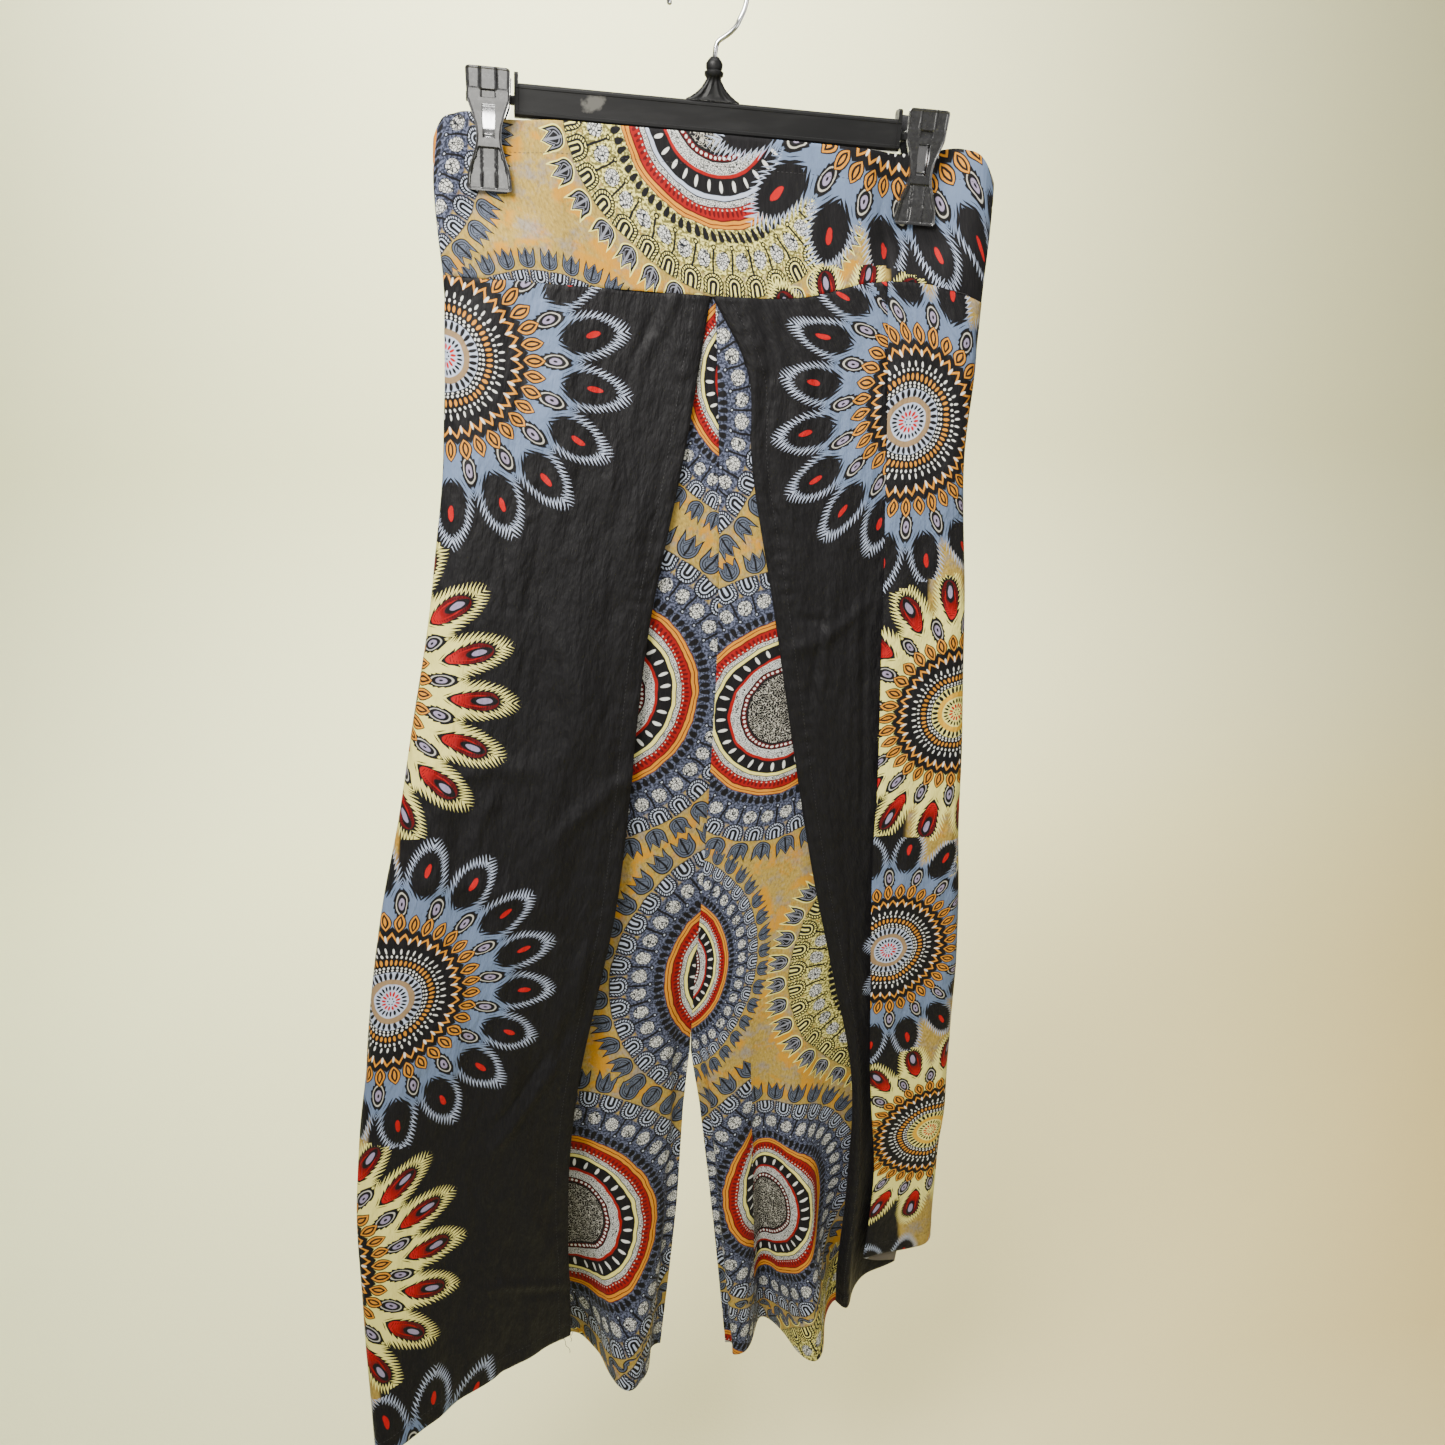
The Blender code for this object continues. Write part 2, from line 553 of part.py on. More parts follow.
def neck(finish):
    """The boss on the middle of the bar, with the knob that the hook turns in."""
    base = BAR_HALF_HEIGHT + SEAM_GAP
    knob = base + NECK_HEIGHT
    profile = (
        # half width, half depth, height
        (0.0170, 0.0038, base),
        (0.0070, 0.0038, base + 0.8 * NECK_HEIGHT),
        (0.0045, 0.0038, knob),
        (KNOB_RADIUS, KNOB_RADIUS, knob + 0.2 * KNOB_HEIGHT),
        (KNOB_RADIUS, KNOB_RADIUS, knob + 0.75 * KNOB_HEIGHT),
        (0.5 * KNOB_RADIUS, 0.5 * KNOB_RADIUS, knob + KNOB_HEIGHT),
    )
    return loft("hanger_neck", [round_loop(*row) for row in profile], finish)


def hook(finish):
    """The wire hook, from the knob round over the rail to its free end."""
    top = BAR_HALF_HEIGHT + 2 * SEAM_GAP + NECK_HEIGHT + KNOB_HEIGHT
    start = Vector(on_hanger([(0.0, 0.0, top)])[0])
    rise = Vector(on_hanger([(0.0, 0.0, top + SHANK_HEIGHT)])[0])
    middle = Vector((0.0, 0.0, -(HOOK_RADIUS - WIRE_RADIUS)))
    arc = [middle + HOOK_RADIUS * Vector((math.cos(t), 0.0, math.sin(t)))
           for t in np.radians(np.linspace(*HOOK_ENDS, 24))]
    sway = Vector((HOOK_SWAY[0], 0.0, HOOK_SWAY[1]))
    bend = [rise + (arc[0] - rise) * s + sway * 4 * s * (1 - s) for s in (0.25, 0.5, 0.75)]
    route = [start, rise] + bend + arc
    wire = bpy.data.curves.new("hook", "CURVE")
    wire.dimensions = "3D"
    wire.bevel_depth = WIRE_RADIUS
    wire.bevel_resolution = 2
    wire.use_fill_caps = True
    spline = wire.splines.new("POLY")
    spline.points.add(len(route) - 1)
    for point, place in zip(spline.points, route):
        point.co = (*place, 1.0)
    wire.materials.append(finish)
    piece = bpy.data.objects.new("hook", wire)
    bpy.context.collection.objects.link(piece)
    return piece


def lever(name, middle_x, face, finish):
    """One half of a clip: thumb plate, narrow waist and jaw.

    face is -1 in front of the cloth and 1 behind it. A rib runs down each
    side of the inner face. At the peg the two ribs stand out as ears that
    bear on it, and at the jaw they hold the cloth.
    """
    seat = PEG_RADIUS + SEAM_GAP
    profile = (
        # z, half width, outer y, inner y, rib's y
        (0.0150, 0.0122, 0.0140, 0.0124, 0.0120),
        (0.0135, 0.0135, 0.0139, 0.0116, 0.0112),
        (0.0030, 0.0131, 0.0120, 0.0096, 0.0092),
        (0.0022, 0.0130, 0.0118, 0.0094, seat),
        (-0.0022, 0.0128, 0.0111, 0.0087, seat),
        (-0.0030, 0.0127, 0.0110, 0.0086, 0.0082),
        (-0.0090, 0.0106, 0.0098, 0.0076, 0.0072),
        (-0.0160, 0.0083, 0.0090, 0.0066, 0.0062),
        (-0.0260, 0.0079, 0.0078, 0.0054, 0.0050),
        (-0.0330, 0.0098, 0.0072, JAW_FACE + 0.0004, JAW_FACE),
        (-0.0400, 0.0124, 0.0065, JAW_FACE + 0.0004, JAW_FACE),
        (-0.0530, 0.0143, 0.0046, JAW_FACE + 0.0004, JAW_FACE),
    )
    loops = []
    for z, half, outer, inner, rib in profile:
        inside = half - RIB_WIDTH
        outline = ((-half, outer), (half, outer), (half, rib), (inside, rib),
                   (inside, inner), (-inside, inner), (-inside, rib), (-half, rib))
        loops.append([(middle_x + x, face * y, z) for x, y in outline])
    return loft(name, loops, finish)


def spring(name, middle_x, finish):
    """The steel strip bent over the peg, which presses the two jaws together."""
    inside = (
        # y, z along the strip's inner face, from the front jaw up to the peg
        (0.0034, -0.0262),
        (0.0038, -0.0200),
        (0.0050, -0.0100),
        (0.0058, -0.0020),
        (0.0048, 0.0040),
        (0.0020, 0.0066),
    )
    path = [(-y, z) for y, z in inside] + [(y, z) for y, z in inside[::-1]]
    points = np.array(path)
    step = np.gradient(points, axis=0)
    step /= np.linalg.norm(step, axis=1, keepdims=True)
    outward = np.stack([-step[:, 1], step[:, 0]], axis=1) * STRIP_THICK
    left, right = middle_x - STRIP_HALF_WIDTH, middle_x + STRIP_HALF_WIDTH
    loops = []
    for (y, z), (over_y, over_z) in zip(points, outward):
        loops.append([(left, y, z), (right, y, z),
                      (right, y + over_y, z + over_z), (left, y + over_y, z + over_z)])
    return loft(name, loops, finish)


def main():
    """Build every piece."""
    for piece in list(bpy.data.objects):
        bpy.data.objects.remove(piece, do_unlink=True)

    print_cloth = material("print_cloth", (0.42, 0.33, 0.20), 0.75)
    overlay_cloth = material("overlay_cloth", (0.022, 0.020, 0.024), 0.62)
    plastic = material("black_plastic", (0.015, 0.015, 0.016), 0.35)
    steel = material("bright_steel", (0.75, 0.75, 0.77), 0.22, 1.0)

    cloth("waistband_front", waistband_front(), print_cloth)
    cloth("waistband_back", waistband_back(), print_cloth)
    for side, word in ((-1, "left"), (1, "right")):
        cloth(f"leg_front_{word}", leg_front(side), print_cloth)
        cloth(f"leg_back_{word}", leg_back(side), print_cloth)
    cloth("overlay_left", overlay_left(), overlay_cloth)
    cloth("overlay_right", overlay_right(), overlay_cloth)

    bar(plastic)
    neck(plastic)
    hook(steel)
    for side, word in ((-1, "left"), (1, "right")):
        lever(f"clip_front_{word}", side * CLIP_X, -1, plastic)
        lever(f"clip_back_{word}", side * CLIP_X, 1, plastic)
        spring(f"clip_spring_{word}", side * CLIP_X, steel)


main()
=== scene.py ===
"""Looks of the wrap pants and of the clip hanger that they hang from.

Metres, +Z up. The front faces -Y and +X is to the right as seen from the
front. The origin is the inside top of the hanger's hook, and a drop is the
distance below it. Every sheet of cloth is a thin shell on the form of its
solid in the frame, and carries a flat map of itself, in metres, for its print.
"""
from __future__ import annotations

import logging
import math
from dataclasses import dataclass, field
from enum import Enum
from functools import partial
from typing import Sequence

import bmesh
import bpy
import numpy as np
from mathutils import Matrix, Vector

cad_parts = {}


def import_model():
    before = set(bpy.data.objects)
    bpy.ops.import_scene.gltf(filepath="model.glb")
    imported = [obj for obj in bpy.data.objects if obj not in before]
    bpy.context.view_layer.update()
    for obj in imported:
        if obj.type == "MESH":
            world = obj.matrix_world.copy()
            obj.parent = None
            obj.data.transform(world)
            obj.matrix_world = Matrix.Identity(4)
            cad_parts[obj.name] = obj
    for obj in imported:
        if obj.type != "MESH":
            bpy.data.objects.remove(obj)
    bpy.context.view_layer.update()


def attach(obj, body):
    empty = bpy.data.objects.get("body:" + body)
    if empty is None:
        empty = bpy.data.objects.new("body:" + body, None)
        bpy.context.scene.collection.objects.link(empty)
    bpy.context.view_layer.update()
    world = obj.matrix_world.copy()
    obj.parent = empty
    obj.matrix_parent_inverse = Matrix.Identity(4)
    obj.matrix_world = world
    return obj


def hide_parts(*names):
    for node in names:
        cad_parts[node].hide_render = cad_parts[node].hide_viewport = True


LOG = logging.getLogger("wrap_pants")
Array = np.ndarray
Colour = tuple[float, float, float]
Socket = bpy.types.NodeSocket
Material = bpy.types.Material

# Cloth, as in the frame's solids
SEAM_GAP = 0.0003
LAYER = 0.0017
BAND_DEPTH = 0.0095
WAIST_DROP = 0.196
LEVEL = 0.010
WALL = 0.0012
PINCH = 0.0010
PINCH_FLAT = 0.016
PINCH_SIDE = 0.025
PINCH_DROP = 0.060
PINCH_BELOW = 0.030
GATHER_PITCH = 0.0125
GATHER_DEPTH = 0.0014
GATHER_FADE = 0.16
GATHER_MARGIN = 0.010

# Hanger, as in the frame's solids
BAR_X = 0.0015
BAR_DROP = 0.0942
TILT = math.radians(4.03)
CLIP_X = 0.1405

# Thickness of the shown cloth, thinner than its stiff solid
CLOTH_THICK = 0.0007
HEM_THICK = 0.0012
BAND_THICK = 0.0011
CASING_THICK = 0.0015

# Hems, stitches and the print
HEM_WIDTH = 0.011
HEM_PUCKER = 0.00048
HEM_GROOVE = 0.00025
OVERLAY_HEM_STITCHES = 0.013
LEG_HEM_STITCHES = 0.012
BLACK_FADE = 0.003
INK_DEPTH = 0.62
WOBBLE = 0.0035


def from_mm(rows: Sequence) -> np.ndarray:
    """A table written in millimetres, in metres."""
    return np.array(rows) / 1000


# Corners of the cloth's sections by drop, each x and y in turn unless named
BAND_EDGES = from_mm((
    # x, top, seam
    (-176, 112, 186.5), (-170, 99, 187.2), (-160, 93.5, 188), (-130, 96.5, 190.5),
    (-114, 97.2, 192), (-48, 101.2, 197), (0, 104.6, 200.9), (61, 109, 201.9), (117, 113.5, 192.5),
    (130, 114.2, 193), (149, 112.5, 195.2), (170, 111.5, 201), (185, 119, 206), (193, 132, 208),
))
BAND_FOLDS = from_mm((
    # drop, left fold, right fold
    (93, -172, 190), (125, -176, 193), (208, -175, 190),
))
BAND_FRONT_X = (-0.10, 0.0, 0.10)
BAND_SEAM_LEFT = -0.080
BAND_SEAM_RIGHT = 0.128

OVERLAY_LEFT = from_mm((
    # drop, edge, front of the fold, back of the fold, back, seam, each x, y
    (200, -2, -9.5, -175, -9.5, -175, 9.5, -125, 9.5, -80, 9.5),
    (310, -24, -12.5, -187, -15, -187, 8.5, -140, 11.5, -92, 11.5),
    (415, -49, -17, -208, -26, -208, 2, -162, 11, -115, 12.5),
    (630, -82, -27, -257, -60, -257, -30, -215, -4, -172, 6),
    (845, -130, -40, -296, -100, -296, -66, -258, -38, -216, -18),
    (1060, -144, -55, -298, -147, -298, -112, -272, -76, -242, -48),
))
OVERLAY_LEFT_HEM = from_mm((1049, 1040, 1060, 1060, 1052, 1045))
OVERLAY_RIGHT = from_mm((
    # drop, edge x, edge y, roll, under y, pleat x, intake, layer, fold x, back y, seam x, seam y
    (200, -1, -9.5, 0, -9.5, 119, 8, 3.1, 190, 13, 128, 9.5),
    (245, 22, -9.8, 0.5, -9.8, 120, 9, 3.4, 186, 12.4, 120, 10),
    (310, 26, -10.5, 1, -9.9, 122, 11, 3.5, 182.5, 12.3, 116, 11.5),
    (415, 42, -11, 2, -9.4, 124, 18, 3.5, 190, 13.8, 122, 13),
    (520, 57, -12, 3, -9.3, 125.6, 28, 3.5, 196, 14.3, 132, 13.5),
    (630, 74, -13, 4, -9.2, 124, 38, 3.5, 200, 14.3, 143, 13.5),
    (730, 93, -15, 6, -10.2, 126, 45, 3.5, 204, 14.1, 148, 13.3),
    (840, 112, -18, 8, -11.7, 130, 48, 3.5, 201.5, 13.8, 145, 13),
    (950, 110, -20, 13, -12, 136.5, 40, 3.5, 198, 12.5, 130, 11.7),
    (1050, 103, -23, 20, -13.5, 129, 32, 3.5, 198, 10.8, 114, 10),
))
OVERLAY_RIGHT_HEM = from_mm((1084, 1085, 1076, 1055, 1049, 1044, 1037, 1034, 1031, 1024, 1020))
ROLL_SPAN = (0.30, 0.75)
CENTRE = from_mm((
    # drop, x, distance between the two legs, front y, back y
    (200, 1.6, 0, -7.8, 7.8),
    (310, 2.7, 0, -7, 9.5),
    (415, 1.4, 0, -6.5, 10.5),
    (630, -12.8, 0, -5.5, 9),
    (760, -24, 0, -4, 4),
    (805, -26.5, 1, -1.4, 0.6),
    (860, -26.8, 14.5, -2, 0),
    (960, -27.2, 30.5, -6, -4),
    (1115, -32.5, 61, -18, -15.5),
))
LEG_FRONT_LEFT = from_mm((
    # drop, inner, ridge, valley, front of the fold, back of the fold, back
    (200, -30, -7.8, -60, -7.8, -88.5, -7.8, -173.3, -7.8, -173.3, 7.8, -110, 7.8),
    (310, -30, -8.5, -70, -8, -120, -6, -178, -8, -178, 6, -120, 9.6),
    (415, -30, -9, -70, -8.5, -130, -5, -190, -8.5, -190, 1, -140, 9.5),
    (630, -40, -10, -80, -12, -140, -8, -225, -30, -225, -18, -192, -2.5),
    (800, -45, -12, -90, -18, -150, -12, -243, -55, -246, -46, -224, -28),
    (960, -56, -20, -95, -30, -135, -6, -190, -32, -236, -53, -240, -46),
    (1115, -75, -46, -101, -74, -134, 13, -180, -30, -236, -64, -252, -60),
))
LEG_FRONT_LEFT_HEM = from_mm((1114, 1114, 1114, 1114, 1108, 1088, 1083, 1082, 1082))
LEG_FRONT_RIGHT = from_mm((
    # drop, inner, ridge, valley, ridge, valley, front of the fold, back of the fold
    (200, 30, -7.8, 50, -7.8, 80, -7.8, 110, -7.8, 140, -7.8, 186.8, -7.8, 186.8, 7.8),
    (245, 30, -7.8, 50, -7.8, 76, -7.5, 106, -7, 136, -6.7, 180, -7, 180, 7.5),
    (310, 30, -7.8, 50, -7.8, 70, -7, 100, -6, 130, -5, 176, -6, 176, 8.5),
    (415, 20, -8, 40, -8, 60, -7, 90, -5.5, 120, -3.5, 182, -3.5, 182, 9),
    (630, 10, -9, 30, -9, 50, -8, 70, -7, 110, -3, 189, -2.5, 189, 9),
    (800, -12, -10, 10, -12, 35, -9, 60, -16, 95, -3, 186, -2, 186, 8.5),
    (960, -8, -20, 20, -26, 36, 3, 68, -43, 95, -1, 153, -2, 153, 7.5),
    (1115, 0, -36, 20, -36, 37, 12, 76, -84, 100, 2, 120, -4, 120, 6),
))
LEG_FRONT_RIGHT_HEM = from_mm((1124, 1124, 1122, 1116, 1112, 1112, 1108, 1106, 1104, 1104))
LEG_BACK_LEFT = from_mm((
    # drop, inner, outer
    (200, -25, 7.8, -55, 7.8),
    (310, -30, 11.5, -60, 11.5),
    (415, -35, 13.5, -80, 14),
    (630, -50, 17, -120, 16),
    (800, -60, 22, -140, 14),
    (960, -80, 26, -160, 10),
    (1115, -90, 28, -170, 4),
))
LEG_BACK_LEFT_HEM = from_mm((1110, 1110, 1110, 1100, 1083))
LEG_BACK_RIGHT = from_mm((
    # drop, inner, outer
    (200, 40, 7.8, 90, 7.8),
    (310, 45, 12, 90, 12),
    (415, 45, 15, 90, 16),
    (630, 40, 19, 105, 21),
    (800, 20, 27, 110, 27),
    (960, 10, 32, 90, 34),
    (1115, 15, 36, 80, 38),
))
LEG_BACK_RIGHT_HEM = from_mm((1112, 1112, 1110, 1106, 1104))
LEFT_LAYERS = ((0.5, 0.8, 1.1), (1.0, 1.4, 1.6))
SIDE_GAPS = ((0.8, 1.1), (3.0, 6.0))


class Side(Enum):
    """Which side of the garment a piece is on, as seen from the front."""

    LEFT = -1
    RIGHT = 1

    @property
    def word(self) -> str:
        """The side's name in the names of pieces."""
        return self.name.lower()


class Tone(Enum):
    """Colours that a motif is printed in."""

    BLUE = 0.0
    CREAM = 1.0


class Edge(Enum):
    """Edges of a panel."""

    FIRST = "first column"
    TOP = "top"
    BOTTOM = "bottom"


class Slot(Enum):
    """Material slots of the record."""

    PRINT = "print_cloth"
    OVERLAY = "overlay_cloth"
    PLASTIC = "black_plastic"
    STEEL = "bright_steel"


@dataclass(frozen=True)
class Motif:
    """A round motif of the print: its colours and its centre on the flat cloth.

    Its width across and its height down are shares of the drawn ones, and
    span is the least and the most u at which it is printed.
    """

    tone: Tone
    u: float
    v: float
    across: float = 1.0
    down: float = 1.0
    span: tuple[float, float] = (-1.0, 1.0)


blue = partial(Motif, Tone.BLUE)
cream = partial(Motif, Tone.CREAM)


# Shapes


def follow(rows: Array, column: int, key: Array) -> Array:
    """A column of a table at each key, on a smooth curve through its rows.

    Between two rows it is a cubic whose slopes at the rows come from their
    neighbours. Past the first and the last row it stays level.

    Args:
        rows: Table whose first column is the key.
        column: Which column to follow.
        key: Keys to give it at.

    Returns:
        The column's value at each key.
    """
    keys, values = rows[:, 0], rows[:, column]
    slopes = np.gradient(values, keys)
    low = np.clip(np.searchsorted(keys, key) - 1, 0, len(keys) - 2)
    step = keys[low + 1] - keys[low]
    s = np.clip((key - keys[low]) / step, 0.0, 1.0)
    return (values[low] * (1 + 2 * s) * (1 - s) ** 2 + slopes[low] * step * s * (1 - s) ** 2
            + values[low + 1] * s * s * (3 - 2 * s)
            + slopes[low + 1] * step * s * s * (s - 1))


def ease(share: Array) -> Array:
    """0 to 1 with level ends, for a share that is held between 0 and 1."""
    share = np.clip(share, 0.0, 1.0)
    return share * share * (3 - 2 * share)


def bell(distance: Array, width: float) -> Array:
    """1 at no distance, falling off as exp(-(distance / width)^2)."""
    return np.exp(-(distance / width) ** 2)


def curve_weights(steps: Sequence[int]) -> Array:
    """How much each corner of a section weighs in each column of points.

    The curve is a quadratic spline on the corners that starts at the first
    one and ends at the last one.

    Args:
        steps: Number of columns along each inner corner's stretch.

    Returns:
        One row for each column of points, one column for each corner.
    """
    corners = len(steps) + 2
    blocks = []
    for stretch, count in enumerate(steps):
        s = np.linspace(0.0, 1.0, count + 1)[:count + 1 if stretch == len(steps) - 1 else count]
        block = np.zeros((len(s), corners))
        block[:, stretch] = 0.5 * (1 - s) ** 2
        block[:, stretch + 1] = 0.5 + s * (1 - s)
        block[:, stretch + 2] = 0.5 * s * s
        blocks.append(block)
    weights = np.concatenate(blocks)
    weights[:, 1] -= weights[:, 0]
    weights[:, 0] *= 2
    weights[:, -2] -= weights[:, -1]
    weights[:, -1] *= 2
    return weights


def band_edge(x: Array, column: int) -> Array:
    """Drop of the waistband's top (1) or of the waist seam (2) at each x."""
    return follow(BAND_EDGES, column, x)


def unit(vectors: Array) -> Array:
    """Vectors scaled to a length of 1."""
    return vectors / np.maximum(np.linalg.norm(vectors, axis=-1, keepdims=True), 1e-12)


def grid_quads(rows: int, columns: int, closed: bool = False) -> Array:
    """Quads over a grid of points that are numbered row by row.

    Args:
        rows: Rows of points.
        columns: Points in a row.
        closed: Whether each row's last point joins its first one.

    Returns:
        Four point numbers for each quad.
    """
    index = np.arange(rows * columns).reshape(rows, columns)
    if closed:
        index = np.concatenate([index, index[:, :1]], axis=1)
    return np.stack([index[:-1, :-1], index[:-1, 1:], index[1:, 1:], index[1:, :-1]],
                    axis=-1).reshape(-1, 4)


def border(index: Array) -> Array:
    """Point numbers round a grid, from its first corner along its first row."""
    return np.concatenate([index[0], index[1:, -1], index[-1, -2::-1], index[-2:0:-1, 0]])


def lengths_along(points: Array, axis: int) -> Array:
    """Distance along each line of points, from 0 at its first one."""
    steps = np.linalg.norm(np.diff(points, axis=axis), axis=-1)
    start = np.zeros_like(np.take(steps, [0], axis=axis))
    return np.concatenate([start, np.cumsum(steps, axis=axis)], axis=axis)


def place_object(name: str, data: bpy.types.ID) -> bpy.types.Object:
    """An object at the origin, linked to the scene."""
    made = bpy.data.objects.new(name, data)
    bpy.context.scene.collection.objects.link(made)
    return made


def make_mesh(name: str, points: Array, faces: Array | list, finishes: Sequence,
              smooth_angle: float = 40.0) -> bpy.types.Object:
    """A mesh object at the origin with its place in its points.

    Args:
        name: Name of the piece.
        points: Places of the points.
        faces: Point numbers of each face.
        finishes: Materials, in the order of the slots.
        smooth_angle: Edges that turn by more degrees than this are sharp.

    Returns:
        The object, linked to the scene.
    """
    mesh = bpy.data.meshes.new(name)
    listed = faces.tolist() if isinstance(faces, np.ndarray) else faces
    mesh.from_pydata(np.asarray(points, float).reshape(-1, 3).tolist(), [], listed)
    for finish in finishes:
        mesh.materials.append(finish)
    mesh.shade_smooth()
    mesh.set_sharp_from_angle(angle=math.radians(smooth_angle))
    return place_object(name, mesh)


def on_hanger(points: Array) -> Array:
    """Places on the hanger, from its own frame along the bar, in the world.

    The frame is turned by the bar's tilt: x' = x cos + z sin, z' = z cos - x sin.
    """
    cos, sin = math.cos(TILT), math.sin(TILT)
    x, y, z = np.moveaxis(np.asarray(points, float), -1, 0)
    return np.stack([BAR_X + x * cos + z * sin, y, -BAR_DROP - x * sin + z * cos], axis=-1)


def creases(rows: Sequence[tuple], u: Array, v: Array) -> Array:
    """Height of soft troughs and ridges over a flat sheet.

    Each is a bell across its line times a flat-topped bell along it,
    exp(-(across / width)^2) exp(-(2 along / length)^4), and its line bows
    aside by bow at its ends.

    Args:
        rows: u, v, angle from straight down in degrees, length, width, height
            and bow, in millimetres apart from the angle.
        u: Places across the sheet.
        v: Places down the sheet.

    Returns:
        The height at each place, outwards where it is above 0.
    """
    height = np.zeros(np.shape(u))
    for row in rows:
        at_u, at_v, _, length, width, rise, bow = (value / 1000 for value in row)
        cos, sin = math.cos(math.radians(row[2])), math.sin(math.radians(row[2]))
        along = ((u - at_u) * sin + (v - at_v) * cos) / (length / 2)
        across = (u - at_u) * cos - (v - at_v) * sin - bow * along ** 2
        height += rise * bell(across, width) * np.exp(-np.clip(along, -3, 3) ** 4)
    return height


def within(value: Array, low: float, high: float, soft: float = 0.0004) -> Array:
    """1 between two edges and 0 outside them, eased over a soft width."""
    return ease((value - low) / soft + 0.5) * ease((high - value) / soft + 0.5)


# Materials


def linear(red: int, green: int, blue: int) -> Colour:
    """A screen colour of 0 to 255 as linear light."""
    share = np.array((red, green, blue)) / 255
    return tuple(float(x) for x in np.where(share <= 0.04045, share / 12.92,
                                            ((share + 0.055) / 1.055) ** 2.4))


def ink(red: int, green: int, blue: int) -> Colour:
    """A screen colour as the darker light that dyed cloth gives back."""
    return tuple(INK_DEPTH * x for x in linear(red, green, blue))


def fill(tree: bpy.types.NodeTree, slot: Socket, value: object) -> None:
    """Put a field, a socket, a number or a colour into an input."""
    if isinstance(value, Field):
        value = value.socket
    if isinstance(value, Socket):
        tree.links.new(value, slot)
    elif isinstance(value, tuple):
        slot.default_value = (*value, 1.0)[:len(slot.default_value)]
    else:
        slot.default_value = value


class Field:
    """A number that varies over a surface, as the output of a shader node."""

    def __init__(self, tree: bpy.types.NodeTree, socket: Socket) -> None:
        """Keep the tree and the output socket."""
        self.tree = tree
        self.socket = socket

    def math(self, operation: str, *others: Field | float) -> Field:
        """This number and others put through a Math node's operation."""
        terms = dict(enumerate((self, *others)))
        return Field(self.tree, Palette(self.tree).node("Math", terms, operation=operation)[0])

    def __add__(self, other: Field | float) -> Field:
        """Sum."""
        return self.math("ADD", other)

    def __sub__(self, other: Field | float) -> Field:
        """Difference."""
        return self.math("SUBTRACT", other)

    def __mul__(self, other: Field | float) -> Field:
        """Product."""
        return self.math("MULTIPLY", other)

    def least(self, other: Field | float) -> Field:
        """The smaller of two numbers."""
        return self.math("MINIMUM", other)

    def most(self, other: Field | float) -> Field:
        """The larger of two numbers."""
        return self.math("MAXIMUM", other)

    def size(self) -> Field:
        """The number without its sign."""
        return self.math("ABSOLUTE")

    def rises(self, low: float, high: float) -> Field:
        """0 up to low, 1 from high on, and straight between them."""
        terms = {"Value": self, "From Min": low, "From Max": high}
        return Field(self.tree, Palette(self.tree).node("MapRange", terms)["Result"])

    def below(self, edge: float, soft: float = 0.35) -> Field:
        """1 below an edge and 0 above it, blurred over a soft width."""
        return self.rises(edge + soft / 2, edge - soft / 2)

    def between(self, low: float, high: float, soft: float = 0.35) -> Field:
        """1 between two edges and 0 outside them."""
        middle, half = (low + high) / 2, (high - low) / 2
        return (self - middle).size().below(half, soft)

    def mixed(self, other: Field, share: Field) -> Field:
        """This number where share is 0, and the other one where it is 1."""
        return self + (other - self) * share

    def wave(self, pitch: float) -> Field:
        """A zigzag from 0 at each multiple of the pitch up to 1 halfway."""
        return (self * (1 / pitch)).math("PINGPONG", 0.5) * 2


@dataclass
class Polar:
    """Distance from a motif's centre in millimetres, and the angle round it."""

    r: Field
    turn: Field

    def sector(self, count: int, shift: float = 0.0) -> Field:
        """Millimetres across from the nearest of evenly spaced spokes.

        It is the place in one of count sectors, from -0.5 to 0.5, times the
        sector's width at this radius, with the spokes turned by shift sectors.
        """
        share = self.turn.math("MULTIPLY_ADD", count, shift + 0.5).math("FRACT") - 0.5
        return share * self.r * (2 * math.pi / count)

    def ovals(self, count: int, radius: float, half_width: float, half_length: float,
              shift: float = 0.0, taper: float = 0.0) -> Field:
        """How far out of the nearest of a ring of ovals a place is.

        It is 0 in an oval's middle and 1 on its outline:
        sqrt((x / half width)^2 + (y / half length)^2), with x stretched by
        1 + taper y so that one end is wider.

        Args:
            count: Number of ovals.
            radius: Distance of their middles from the centre.
            half_width: Half an oval's width.
            half_length: Half its length, along the spoke.
            shift: Turn of the ring, in sectors.
            taper: Share by which the inner end is wider than the middle.

        Returns:
            The oval's own distance.
        """
        x = self.sector(count, shift)
        y = self.r - radius
        if taper:
            x = x * y.math("MULTIPLY_ADD", taper / half_length, 1.0)
        across, along = x * (1 / half_width), y * (1 / half_length)
        return (across * across + along * along).math("SQRT")


